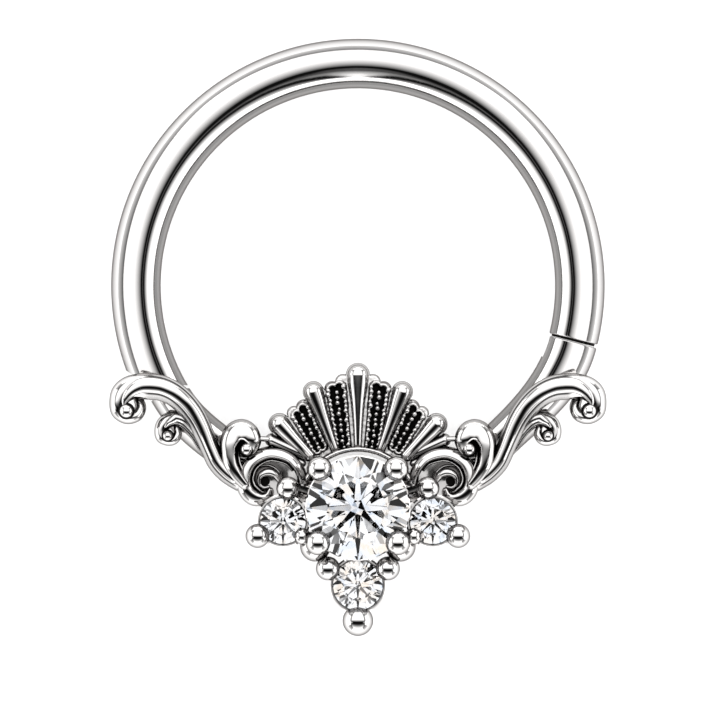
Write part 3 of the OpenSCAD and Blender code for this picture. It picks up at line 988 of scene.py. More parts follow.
    # The bars that lie beside or on these
    body: Rider = Rider(0.0, 1.0, -0.4, 0.93)
    foot: Rider = Rider(0.0, 0.93, -1.3, 0.9, 6.0, 13.0)
    scroll_back: Rider = Rider(0.11, 0.6, 0.55, 0.36, 0.5, 10.1)
    curl_back: Rider = Rider(0.16, 0.58, 0.55, 0.4, 0.3, 5.1)
    # Where each flute inside the curl lies and where it ends, and how much they sink as they go inward
    flutes: tuple[Row, ...] = ((-0.42, 5.0), (-0.62, 4.6), (-0.82, 4.2))
    flute: Rider = Rider(0.0, 0.12, 0.12, 0.4)
    flute_sinks: float = 0.3
    hook_low: Rider = Rider(-0.06, 1.12, -0.35, 0.9)
    hook_top: Rider = Rider(-0.06, 0.96, 0.4, 0.6)
    hook_inner: Rider = Rider(1.2, 0.26, -0.2, 0.6, 1.0, 5.5)
    volute_wall: Rider = Rider(0.1, 1.3, 0.0, 0.95)
    volute_lip: Rider = Rider(-1.5, 0.26, 0.1, 0.5, 2.0, 13.1)
    # Sections: how many sides they have, how square they are, and how far left their crest lies
    low_section: tuple[int, float] = (80, 1.9)
    hook_section: tuple[int, float, float] = (48, 2.0, 0.55)
    volute_section: tuple[int, float, float] = (48, 2.0, -0.4)
    # Painted shade in a line on each side of a ridge, drawn as creases: two places in shares of the half
    # width, and their last row
    scroll_creases: Row = (-0.53, 0.75, 10.0)
    curl_creases: Row = (-0.47, 0.78, 6.0)
    crease_w: float = 0.085
    crease_shade: float = 0.97
    # The rows over which the painted crease lines fade in, how many more they fade out over, and the painted
    # shade on the lip
    crease_start: tuple[float, float] = (-0.2, 0.4)
    crease_fade: float = 0.8
    lip_shade: float = 0.42
    # Painted shade round a ball's foot: how much lower and larger than the ball the black ball under it is
    groove_shade: tuple[float, float] = (0.05, 0.03)

    def _rounded(self, made: Shell, *bars: np.ndarray) -> None:
        """Adds round bars with domed ends."""
        for rows in bars:
            made.bar(rows, round_section(self.sides), ends="se")

    def _ball(self, made: Shell, ball: Row) -> None:
        """Sets a ball with a ring of painted shade round its foot.

        Args:
            made: the shell that it goes in.
            ball: its x, y, height and radius.
        """
        x, y, z, radius = ball
        made.ball((x, y, z), radius)
        # A black ball, a little lower and larger, paints the shade where the ball meets its bar
        made.ball((x, y, z - self.groove_shade[0]), radius + self.groove_shade[1], soot=1.0)

    def _low_body(self, rows: np.ndarray, creases: Row) -> Shell:
        """Starts a scroll or curl with its low body, which carries a line of painted shade on both sides of
        the ridge.

        Args:
            rows: the bar's rows.
            creases: the places of its painted crease lines, and their last row.

        Returns:
            Its shell.
        """
        section = round_section(*self.low_section)
        *places, stop = creases
        line = np.zeros(len(section))
        for place in places:
            near = np.exp(-(((section[:, 0] - place) / self.crease_w) ** 4))
            line = np.maximum(line, near * (section[:, 1] > 0))
        # Painted shade also greys the lip inside the inner crease line
        line = np.maximum(line, self.lip_shade * ease(places[0], places[0] - 0.1, section[:, 0]))
        # Each domed end has rings of its own
        spare = len(DOME_TURNS)
        ring = np.arange(-spare, len(rows) + spare) / self.steps
        fade = ease(stop + self.crease_fade, stop, ring) * ease(*self.crease_start, ring)
        soot = (self.crease_shade * fade[:, None] * line[None, :]).ravel()
        return Shell().bar(self.body.on(rows, self.steps), section, soot, "se")

    def _ridge(self, back: np.ndarray, end: Sequence[Row]) -> np.ndarray:
        """Leads a ridge from a bar's back on into its ball."""
        return np.vstack([back, smooth_rows([back[-1], *end], self.steps)[1:]])

    def _scroll(self) -> Shell:
        """Builds the right scroll.

        Returns:
            Its shell.
        """
        scroll = smooth_rows(self.scroll, self.steps)
        made = self._low_body(scroll, self.scroll_creases)
        # Where it crosses the wire it stands on a foot, which stays clear of the hinged arc
        foot = self.foot.on(scroll, self.steps)
        bottom = np.maximum(foot[:, 3] - foot[:, 4], np.where(foot[:, 1] > self.clear_y, self.clear_z, 0.0))
        top = foot[:, 3] + foot[:, 4]
        foot[:, 3], foot[:, 4] = (top + bottom) / 2, (top - bottom) / 2
        self._rounded(made, foot, self._ridge(self.scroll_back.on(scroll, self.steps), self.ridge_end))
        self._ball(made, self.scroll_ball)
        return made

    def _curl(self) -> Shell:
        """Builds the right curl.

        Returns:
            Its shell.
        """
        curl = smooth_rows(self.curl, self.steps)
        made = self._low_body(curl, self.curl_creases)
        self._rounded(made, self._ridge(self.curl_back.on(curl, self.steps), self.curl_end))
        for side, stop in self.flutes:
            flute = replace(self.flute, side=side, lift=self.flute.lift + side * self.flute_sinks, last=stop)
            made.bar(flute.on(curl, self.steps), round_section(self.sides), ends="e")
        self._ball(made, self.curl_ball)
        return made

    def _hook(self) -> Shell:
        """Builds the right hook with its bead and tail.

        Returns:
            Its shell.
        """
        hook = smooth_rows(self.hook, self.steps)
        made = Shell().bar(self.hook_low.on(hook, self.steps), round_section(*self.low_section), ends="se")
        made.bar(self.hook_top.on(hook, self.steps), round_section(*self.hook_section), ends="se")
        self._ball(made, self.hook_ball)
        self._rounded(made, self.hook_inner.on(hook, self.steps), smooth_rows(self.tail, self.steps))
        return made.bar(np.array(self.hook_tie), round_section(self.sides))

    def _volute(self) -> Shell:
        """Builds the right volute: a band, a thin lip inside it, a dished web with painted shade, and the
        rolled eye round a black plug of painted shade.

        Returns:
            Its shell.
        """
        band = smooth_rows(self.volute_band, self.steps)
        section = round_section(*self.volute_section)
        made = Shell().bar(self.volute_wall.on(band, self.steps), section, ends="se")
        half_w, *heights = self.eye_bar
        eye = coil(self.volute_eye, self.eye_turn, self.eye_radii, (half_w, half_w), heights, 30)
        self._rounded(made, self.volute_lip.on(band, self.steps), smooth_rows(self.comma, self.steps), eye)
        # The web takes painted shade, and the black plug paints the eye's shade
        made.lathe(self.dish_at, [row[:2] for row in self.dish], soot=[row[2] for row in self.dish])
        return made.lathe(self.volute_eye, self.eye_shade, soot=1.0)

    def build(self) -> None:
        """Builds all bars on both sides."""
        bright = {"scroll": self._scroll(), "curl": self._curl()}
        shapes = {**bright, "hook": self._hook(), "volute": self._volute()}
        for name, shell in shapes.items():
            # Scrolls and curls take the casting's full painted shade, and hooks and volutes the lighter copy
            finish = self.material if name in bright else self.light
            front_piece(f"right_{name}").place(shell, finish)
            front_piece(f"left_{name}").place(shell.mirrored(), finish)


@dataclass(frozen=True)
class Beads:
    """A string's beads: their radius, how far apart they are, and their height over the plate."""

    radius: float
    gap: float
    rise: float


@dataclass
class Fan:
    """The shell over the centre stone: nine ribs, and panels with pearls, whose sunk channels carry painted
    shade so they look pierced.
    """

    material: bpy.types.Material
    chased: bpy.types.Material
    middle: tuple[float, float] = (0.0, -5.35)
    reach: float = 3.25
    back_z: float = 0.75
    top_z: float = 1.13
    foot: float = 1.36
    half_angle: float = 60.0
    # A row is x, y and half width of a rib's tip and of its foot
    ribs: tuple[Row, ...] = (
        (0.0, -2.15, 0.29, 0.0, -3.86, 0.10), (1.07, -2.56, 0.26, 0.56, -3.95, 0.11),
        (1.89, -3.34, 0.27, 1.18, -4.10, 0.15), (2.08, -3.72, 0.16, 1.24, -4.10, 0.12),
        (2.06, -3.99, 0.12, 1.34, -4.28, 0.10))
    # A row is x, y and radius of an arch in the plate's edge
    arches: tuple[Row, ...] = (
        (0.36, -2.32, 0.19), (0.62, -2.49, 0.19), (1.30, -2.93, 0.19), (1.54, -3.07, 0.17))
    # A row is x and y of a channel's top, its half width there, and the same at its foot
    channels: tuple[Row, ...] = (
        (0.443, -2.456, 0.08, 0.286, -3.84, 0.042), (0.605, -2.516, 0.08, 0.397, -3.93, 0.042),
        (1.312, -2.978, 0.078, 0.860, -3.875, 0.045), (1.448, -3.135, 0.078, 0.990, -3.95, 0.045),
        (1.88, -3.875, 0.045, 1.36, -4.12, 0.035))
    crest_z: float = 1.55
    foot_z: float = 1.38
    flange_z: float = 1.27
    channel_z: float = 0.93
    # The plate's reach between its arches, as a share, what of it is gone at the sides, and the
    # degrees from the axis at which it is
    valley: tuple[float, float, float] = (0.90, 0.14, 55.0)
    # A rounded lip round each channel: how far off it runs, its half width and its height
    lip: tuple[float, float, float] = (0.045, 0.05, 0.1)
    # Half the width over which a channel's wall falls, and where its painted shade starts
    wall: float = 0.012
    shade_from: float = 0.01
    # How wide and how deep the plate's outer edge rolls over
    roll: tuple[float, float] = (0.07, 0.12)
    columns: int = 460
    rows: int = 96
    plate_crease: float = 60.0
    # Shares of the way up a rib, of its swelling from foot to tip, and of its flange's width
    swelling: tuple[Row, ...] = (
        (0.0, 0.0, 0.95), (0.3, 0.18, 0.93), (0.6, 0.45, 0.9), (0.85, 0.82, 0.86), (1.0, 1.0, 0.83))
    # The half width at which a rib has its full height
    full_w: float = 0.25
    # How far over the plate's back a flange starts, how deep its drop sits in it, and the painted shade that
    # greys it
    sunk: float = 0.1
    set_in: float = 0.15
    flange_shade: float = 0.35
    # The bar over the centre stone: its radius, half width, middle height and half height
    rim_bar: Row = (1.42, 0.075, 1.38, 0.3)
    # The strings between two channels and beside them, and the one on the last channel
    pearl: Beads = Beads(0.052, 0.135, 0.09)
    bead: Beads = Beads(0.064, 0.118, 0.07)
    seed: Beads = Beads(0.036, 0.1, 0.0)
    # Where the pearls start, as a share of their channels, and how far off a channel's wall the
    # beads are at its top and its foot
    pearl_start: float = 0.06
    bead_off: tuple[float, float] = (0.04, 0.035)
    # A string's first bead is larger by the first share, and the second goes off along it
    tapering: tuple[float, float] = (1.1, 0.25)
    # How much beads differ, how fast that changes along and across, and how far it moves them
    uneven: float = 0.16
    changes: tuple[float, float] = (2.7, 9.1)
    strays: tuple[float, float] = (0.1, 0.06)

    def _spot(self, angle: np.ndarray | float, reach: np.ndarray | float) -> np.ndarray:
        """Turns an angle from the fan's axis and a reach to x and y."""
        a = np.radians(angle)
        return np.stack([self.middle[0] + reach * np.sin(a), self.middle[1] + reach * np.cos(a)], axis=-1)

    def _rim(self, angles: np.ndarray) -> np.ndarray:
        """Works out the plate's edge, with a bump for each arch and rib.

        Args:
            angles: the angles from the fan's axis, in degrees.

        Returns:
            Its reach at each of them.
        """
        share, less, side = self.valley
        rim = self.reach * (share - less * ease(0, side, abs(angles)))
        for x, y, tip_w in [row[:3] for row in (*self.arches, *self.ribs)]:
            middle = math.hypot(x - self.middle[0], y - self.middle[1])
            off = np.radians(abs(angles) - math.degrees(math.atan2(x - self.middle[0], y - self.middle[1])))
            inside = tip_w**2 - (middle * np.sin(off)) ** 2
            bump = np.where(inside > 0, middle * np.cos(off) + np.sqrt(np.maximum(inside, 0)), 0)
            rim = np.maximum(rim, bump)
        return rim

    def _panel_height(self, flat: np.ndarray) -> tuple[np.ndarray, np.ndarray]:
        """Height and painted shade of the panels at points of the plate.

        Args:
            flat: x and y of the points, which count as their mirror points on the right.

        Returns:
            The heights and how dark each point's painted shade is.
        """
        here = flat * np.where(flat[..., :1] < 0, -1, 1) ** np.array([1, 0])
        # How far each point lies outside the nearest channel
        edge = np.full(flat.shape[:-1], math.inf)
        for x0, y0, w0, x1, y1, w1 in self.channels:
            top, low = np.array([x0, y0]), np.array([x1, y1])
            run = low - top
            t = np.clip(((here - top) @ run) / (run @ run), 0, 1)
            gap = np.linalg.norm(here - (top + t[..., None] * run), axis=-1) - (w0 + (w1 - w0) * t)
            edge = np.minimum(edge, gap)
        off, half, rise = self.lip
        lip = np.sqrt(np.clip(1 - ((edge - off) / half) ** 2, 0, 1))
        depth = self.top_z - self.channel_z
        height = self.top_z + rise * lip - depth * ease(self.wall, -self.wall, edge)
        return height, ease(self.shade_from, -self.wall, edge)

    def plate(self) -> Shell:
        """Builds the plate with its panels.

        Returns:
            Its shell.
        """
        angles = np.linspace(-self.half_angle, self.half_angle, self.columns)
        rim = self._rim(angles)
        # The rows lie closer towards the edge
        t = np.linspace(0, 1, self.rows) ** 0.9
        reach = self.foot + (rim[:, None] - self.foot) * t[None, :]
        flat = self._spot(angles[:, None], reach)
        height, soot = self._panel_height(flat)
        width, drop = self.roll
        height = height - drop * ease(width, 0.0, rim[:, None] - reach) ** 2
        top = np.concatenate([flat, height[..., None]], axis=-1)
        back = np.concatenate([flat, np.full((*height.shape, 1), self.back_z)], axis=-1)[:, ::-1]
        rings = np.concatenate([top, back], axis=1)
        # Painted shade darkens the channel floors, and the plate's back takes none
        return Shell().grid(rings, np.concatenate([soot, np.zeros_like(soot)], axis=1).ravel())

    def rib(self, row: Row) -> Shell:
        """Builds a rib: a low flange and on it a drop that swells from its foot to a domed tip.

        Args:
            row: its row of the table.

        Returns:
            Its shell.
        """
        x, y, tip_w, foot_x, foot_y, foot_w = row
        tip, foot = np.array((x, y)), np.array((foot_x, foot_y))
        run = smooth_rows(self.swelling, 10)
        spots = foot + (tip - foot) * run[:, :1]
        width = foot_w + (tip_w - foot_w) * run[:, 1]
        # Narrow ribs are lower
        rise = min(1.0, tip_w / self.full_w) ** 0.5
        low = np.full(len(run), self.back_z + self.sunk)
        crest = self.top_z + (self.foot_z - self.top_z + (self.crest_z - self.foot_z) * run[:, 0]) * rise
        flange = np.full(len(run), self.top_z + (self.flange_z - self.top_z) * rise)
        made = Shell()
        # The flange is greyed with painted shade, and the drop takes none
        for share, top, deep, soot in ((1.0, flange, low, self.flange_shade),
                                       (run[:, 2], crest, flange - self.set_in, 0.0)):
            rows = np.column_stack([spots, width * share, (top + deep) / 2, (top - deep) / 2])
            made.bar(rows, round_section(30, 2.1), soot, "se")
        return made

    def _string(self, made: Shell, line: Row, beads: Beads) -> None:
        """Adds a string of beads on both sides of the fan's axis.

        Args:
            made: the shell that they go in.
            line: x and y of the string's start and of its end, on the right.
            beads: what beads they are.
        """
        start, end = np.array(line[:2]), np.array(line[2:])
        count = max(2, round(float(np.linalg.norm(end - start)) / beads.gap) + 1)
        for i, t in enumerate(np.linspace(0, 1, count)):
            x, y = start + (end - start) * t
            for sign in (-1, 1):
                # No two cast beads are quite alike
                odd = math.sin(self.changes[0] * i + self.changes[1] * x + sign) * self.uneven
                at = (sign * (x + self.strays[0] * odd), y + self.strays[1] * odd, self.top_z + beads.rise)
                made.ball(at, beads.radius * (self.tapering[0] - self.tapering[1] * t + odd), fine=2)

    def pearls(self) -> Shell:
        """Builds the strings of pearls between the channels and the beads beside them.

        Returns:
            Their shell.
        """
        made = Shell()
        table = np.array(self.channels)
        for first, second in ((table[0], table[1]), (table[2], table[3])):
            middle = (first + second) / 2
            top, low = middle[:2], middle[3:5]
            start = top + (low - top) * self.pearl_start
            self._string(made, (*start, *low), self.pearl)
            for channel, side in ((first, -1), (second, 1)):
                run = channel[3:5] - channel[:2]
                left = np.array([-run[1], run[0]]) / np.linalg.norm(run) * side
                beside_top = channel[:2] + left * (channel[2] + self.bead_off[0])
                beside_foot = channel[3:5] + left * (channel[5] + self.bead_off[1])
                self._string(made, (*beside_top, *beside_foot), self.bead)
        self._string(made, table[4, [0, 1, 3, 4]], self.seed)
        return made

    def build(self) -> None:
        """Builds the plate, the ribs, the pearls and the rim over the centre stone."""
        front_piece("fan_plate").place(self.plate(), self.chased, self.plate_crease)
        ribs = Shell()
        for row in self.ribs:
            ribs.joined(self.rib(row))
            if row[0] > 0:
                ribs.joined(self.rib(row).mirrored())
        radius, half_w, *heights = self.rim_bar
        rim = coil(self.middle, (150, 30), (radius, radius), (half_w, half_w), heights, 80)
        ribs.bar(rim, round_section(20), ends="se")
        front_piece("fan_ribs").place(ribs, self.material)
        front_piece("fan_pearls").place(self.pearls(), self.chased)


@dataclass
class Settings:
    """The galleries under the stones, the bars that carry them, and the ball prongs."""

    material: bpy.types.Material
    # The ring low under the centre stone: bottom and top, inner radius at both, and its wall
    centre_base: tuple[Row, Row, float] = ((0.9, 1.3), (0.72, 0.86), 0.2)
    # The centre's cup: bottom and top, and how much narrower than its stone it is at both
    centre_cup: Row = (1.8, 2.1)
    centre_less: Row = (0.28, 0.12)
    # A small cup: bottom and top, its inner radius at the bottom, and how much narrower its top is
    small_cup: Row = (0.85, 1.77)
    small_foot: float = 0.21
    small_less: float = 0.07
    cup_wall: float = 0.13
    # How far a ring's edges are rounded, as a share of its wall, and its steps round
    soften: float = 0.3
    ring_sides: int = 72
    # A row is x, y, half width, middle height and half height
    tip_bar: tuple[Row, ...] = (
        (0, -5.75, 0.24, 0.95, 0.2), (0, -6.4, 0.27, 1.0, 0.19), (0, -7.2, 0.3, 1.08, 0.17))
    side_bar: tuple[Row, ...] = (
        (1.72, -5.0, 0.22, 0.93, 0.2), (1.77, -5.35, 0.26, 0.97, 0.2), (1.8, -5.75, 0.28, 1.03, 0.17))
    # A row is x, y, ball radius, ball height, stem foot x, y and height
    prongs: tuple[Row, ...] = (
        (0.92, -4.40, 0.30, 2.32, 0.70, -4.72, 1.05), (0.96, -6.18, 0.30, 2.34, 0.62, -5.86, 1.05),
        (1.68, -4.87, 0.28, 1.87, 1.70, -5.15, 1.00), (2.41, -6.02, 0.29, 1.85, 2.12, -5.84, 1.00),
        (1.33, -6.03, 0.20, 1.87, 1.40, -5.85, 1.00), (0.72, -6.80, 0.29, 1.85, 0.42, -6.96, 1.05))
    tip_prong: Row = (0.0, -8.06, 0.37, 1.65, 0.0, -7.6, 1.0)
    # A stem's radius on its way up, as a share of its ball's
    stem: tuple[Row, ...] = ((0, 0.62), (0.5, 0.5), (1.0, 0.5))
    stem_sides: int = 20
    # The swell behind each lower prong of the centre stone: x, y, height and radius
    swell: Row = (1.02, -6.27, 1.75, 0.37)

    def _prong(self, made: Shell, row: Row) -> None:
        """Adds a ball on a leaning stem that narrows upward.

        Args:
            made: the shell that it goes in.
            row: its row of the table.
        """
        x, y, radius, height, *foot = row
        top, foot = np.array([x, y, height]), np.array(foot)
        turn = np.linspace(0, 2 * math.pi, self.stem_sides, endpoint=False)
        ring = np.stack([np.cos(turn), np.sin(turn), np.zeros(self.stem_sides)], axis=1)
        made.grid(np.array([foot + (top - foot) * t + ring * radius * w for t, w in self.stem]))
        made.ball(top, radius)

    def _gallery(self, made: Shell, at: Row, heights: Row, radii: Row, wall: float) -> None:
        """Adds a ring with rounded edges.

        Args:
            made: the shell that it goes in.
            at: x and y of its middle.
            heights: its bottom and its top.
            radii: its inner radius at both.
            wall: how thick it is.
        """
        (low, high), (inner_low, inner_high) = heights, radii
        soft = wall * self.soften
        made.lathe(at, [
            (inner_low, low + soft), (inner_low + soft, low),
            (inner_low + wall - soft, low), (inner_low + wall, low + soft),
            (inner_high + wall, high - soft), (inner_high + wall - soft, high),
            (inner_high + soft, high), (inner_high, high - soft)], self.ring_sides)

    def build(self, stones: dict[str, "Brilliant"]) -> None:
        """Builds the settings.

        Args:
            stones: the stones that they hold, by node.
        """
        for name, stone in stones.items():
            ring = Shell()
            if name == "centre_stone":
                self._gallery(ring, stone.at, *self.centre_base)
                radii = (stone.r - self.centre_less[0], stone.r - self.centre_less[1])
                self._gallery(ring, stone.at, self.centre_cup, radii, self.cup_wall)
            else:
                radii = (self.small_foot, stone.r - self.small_less)
                self._gallery(ring, stone.at, self.small_cup, radii, self.cup_wall)
            front_piece(name.replace("stone", "gallery")).place(ring, self.material)
        plain = round_section(24)
        bars = Shell().bar(np.array(self.tip_bar), plain)
        for sign in (-1, 1):
            bars.bar(np.array(self.side_bar) * (sign, 1, 1, 1, 1), plain, ends="se")
        front_piece("setting_bars").place(bars, self.material)
        right = Shell()
        for row in self.prongs:
            self._prong(right, row)
        right.ball(self.swell[:3], self.swell[3])
        both = right.mirrored().joined(right)
        self._prong(both, self.tip_prong)
        front_piece("ball_prongs").place(both, self.material)


@dataclass
class Brilliant:
    """A round brilliant: table, 8 stars, 8 kites, 16 upper and 16 lower girdle facets, 8 mains."""

    node: str
    material: bpy.types.Material
    table_share: float = 0.57
    crown_share: float = 0.155
    pavilion_share: float = 0.43
    girdle_share: float = 0.025
    star_share: float = 0.76
    lower_share: float = 0.16
    crease: float = 1.0
    at: tuple[float, float] = field(init=False)
    r: float = field(init=False)
    girdle_z: float = field(init=False)

    def __post_init__(self) -> None:
        """Reads the stone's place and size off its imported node."""
        low, high = box_of(self.node)
        self.at = (float(low[0] + high[0]) / 2, float(low[1] + high[1]) / 2 - HOOP_Y)
        self.r = float(high[0] - low[0]) / 2
        self.girdle_z = float(high[2]) - self.crown_share * 2 * self.r

    def build(self) -> bpy.types.Object:
        """Cuts the stone.

        Returns:
            The piece.
        """
        r, d = self.r, 2 * self.r
        table_r, table_z = self.table_share * r, self.crown_share * d
        half_girdle = self.girdle_share * d / 2
        culet_z = -self.pavilion_share * d
        eighth = math.cos(math.radians(22.5))
        star_r = (r + (table_r - r) * self.star_share) / eighth
        slope = (table_z - half_girdle) / (r - table_r)
        star_z = table_z - (star_r * eighth - table_r) * slope
        lower_r = self.lower_share * r / eighth
        lower_z = culet_z + (-half_girdle - culet_z) * self.lower_share

        def ring(count: int, radius: float, z: float, start: float = 0.0) -> np.ndarray:
            """Points round the stone's axis."""
            a = np.radians(np.arange(count) * 360 / count + start)
            return np.stack([radius * np.cos(a), radius * np.sin(a), np.full(count, z)], axis=1)

        points = np.vstack([
            ring(8, table_r, table_z), ring(8, star_r, star_z, 22.5), ring(16, r, half_girdle),
            ring(16, r, -half_girdle), ring(8, lower_r, lower_z, 22.5), [[0, 0, culet_z]]])
        points += np.array([*self.at, self.girdle_z])
        star, top, low, main, culet = 8, 16, 32, 48, 56
        faces: list[tuple[int, ...]] = [tuple(range(8))]
        for i in range(8):
            after, before = (i + 1) % 8, (i + 7) % 8
            g, h, m = 2 * i, 2 * i + 1, (2 * i + 2) % 16
            faces += [
                (i, star + i, after), (i, star + before, top + g, star + i),
                (star + i, top + g, top + h), (star + i, top + h, top + m),
                (top + g, low + g, low + h, top + h), (top + h, low + h, low + m, top + m),
                (main + i, low + h, low + g), (main + i, low + m, low + h),
                (culet, main + i, low + g, main + before)]
        name = self.node.replace("stone", "brilliant")
        made = Piece(name, Body.FRONT, Slot.STONE, (self.node,), Lit.STONES)
        return made.place(Shell().add(points, faces), self.material, self.crease)


@dataclass(frozen=True)
class Horseshoe:
    """A dark horseshoe on a lamp, open downward, in mm. A tiny one without legs is a dark disc."""

    # Where it is from the lamp's middle, its radius and how long its legs are
    x: float
    y: float
    radius: float
    legs: float
    # How far from its middle line it starts and stops to fade
    inner: float
    outer: float
    # Where its mouth starts to open and is open, in radii below its middle
    opens: tuple[float, float] = (-2.0, -9.0)

    def share(
        self, tree: bpy.types.NodeTree, place: bpy.types.NodeSocket, size: Row
    ) -> bpy.types.Node:
        """Draws it on a lamp.

        Args:
            tree: the lamp's nodes.
            place: the socket of the place on its face, from zero to one.
            size: how wide and long the lamp is.

        Returns:
            The node that gives the share of light it lets through.
        """
        extent = add_node(tree, "VectorMath", {0: place, 1: (*size, 0)}, operation="MULTIPLY")
        middle = (size[0] / 2 + self.x, size[1] / 2 + self.y, 0)
        here = add_node(tree, "VectorMath", {0: extent, 1: middle}, operation="SUBTRACT")
        axes = add_node(tree, "SeparateXYZ", {0: here}).outputs
        # Its legs run straight down
        leg = add_node(tree, "Clamp", {"Value": axes["Y"], "Min": -self.legs, "Max": 0.0})
        past = add_node(tree, "Math", {0: axes["Y"], 1: leg}, operation="SUBTRACT")
        bent = add_node(tree, "CombineXYZ", {"X": axes["X"], "Y": past})
        reach = add_node(tree, "VectorMath", {0: bent}, operation="LENGTH")
        signed = add_node(tree, "Math", {0: reach, 1: self.radius}, operation="SUBTRACT")
        far = add_node(tree, "Math", {0: signed}, operation="ABSOLUTE")
        # The dark thins out between its legs, and the more so the further down
        side = add_node(tree, "Math", {0: axes["X"]}, operation="ABSOLUTE")
        near_axis = add_node(tree, "MapRange", {
            "Value": side, "From Min": self.radius, "From Max": 0.0}, interpolation_type="SMOOTHSTEP")
        below = add_node(tree, "MapRange", {
            "Value": axes["Y"], "From Min": self.opens[0] * self.radius,
            "From Max": self.opens[1] * self.radius})
        mouth = add_node(tree, "Math", {0: near_axis, 1: below}, operation="MULTIPLY")
        opened = add_node(tree, "Math", {0: mouth, 1: self.outer, 2: far}, operation="MULTIPLY_ADD")
        return add_node(tree, "MapRange", {
            "Value": opened, "From Min": self.inner, "From Max": self.outer})


@dataclass(frozen=True)
class Scraps:
    """Scraps of grey paper on a lamp, which stones show as dark facets."""

    # Their noise's scale over the lamp's width and its shift, and where they are thick and where gone
    scale: float
    shift: float
    thick: float
    gone: float

    def share(self, tree: bpy.types.NodeTree, place: bpy.types.NodeSocket) -> bpy.types.Node:
        """Spreads them on a lamp.

        Args:
            tree: the lamp's nodes.
            place: the socket of the place on its face, from zero to one.

        Returns:
            The node that gives the share of light they let through.
        """
        moved = add_node(tree, "VectorMath", {0: place, 1: (self.shift,) * 3}, operation="ADD")
        noise = add_node(tree, "TexNoise", {"Vector": moved, "Scale": self.scale, "Detail": 0.5})
        return add_node(tree, "MapRange", {"Value": noise, "From Min": self.thick, "From Max": self.gone})


@dataclass(frozen=True)
class Softbox:
    """A flat lamp, seen only in reflections and by what it is flagged to light."""

    name: str
    middle: Row
    size: tuple[float, float]
    aim: Row
    radiance: float
    lit: Lit
    # How far each edge fades in, in mm: left, right, low and high
    fades: tuple[float, ...] = ()
    arch: Horseshoe | None = None
    scraps: Scraps | None = None
    casts: bool = True
    oval: bool = False

    def build(self) -> None:
        """Places the lamp, whose energy follows from its radiance and its area."""
        data = bpy.data.lights.new(self.name, "AREA")
        data.shape = "ELLIPSE" if self.oval else "RECTANGLE"
        data.size, data.size_y = self.size[0] * MM, self.size[1] * MM
        face = data.size * data.size_y * (math.pi / 4 if self.oval else 1)
        data.energy = self.radiance * math.pi * face
        lamp = add_object(self.name, data)
        lamp.location = np.add(self.middle, (0, HOOP_Y, 0)) * MM
        lamp.rotation_mode = "QUATERNION"
        lamp.rotation_quaternion = Vector(np.subtract(self.aim, self.middle)).to_track_quat("-Z", "Y")
        lamp.visible_camera = False
        lamp.light_linking.receiver_collection = LIGHT_SETS[self.lit]
        if not self.casts:
            lamp.light_linking.blocker_collection = NO_SHADOWS
        if self.fades or self.arch or self.scraps:
            self._grade(data)

    def _grade(self, data: bpy.types.AreaLight) -> None:
        """Grades the lamp's brightness over its face.

        Args:
            data: the lamp's data.
        """
        data.use_nodes = True
        tree = data.node_tree
        # It runs from zero to one across the lamp
        place = add_node(tree, "NewGeometry").outputs["Parametric"]
        split = add_node(tree, "SeparateXYZ", {0: place})
        shares = []
        for edge, fade in enumerate(self.fades):
            part = fade / self.size[edge // 2]
            ends = (1.0, 1 - part) if edge % 2 else (0.0, part)
            shares.append(add_node(tree, "MapRange", {
                "Value": split.outputs[edge // 2], "From Min": ends[0], "From Max": ends[1]},
                interpolation_type="SMOOTHSTEP"))
        if self.arch:
            shares.append(self.arch.share(tree, place, self.size))
        if self.scraps:
            shares.append(self.scraps.share(tree, place))
        strength: object = 1.0
        for share in shares:
            strength = add_node(tree, "Math", {0: strength, 1: share}, operation="MULTIPLY")
        feed(tree.nodes["Emission"], {"Strength": strength})


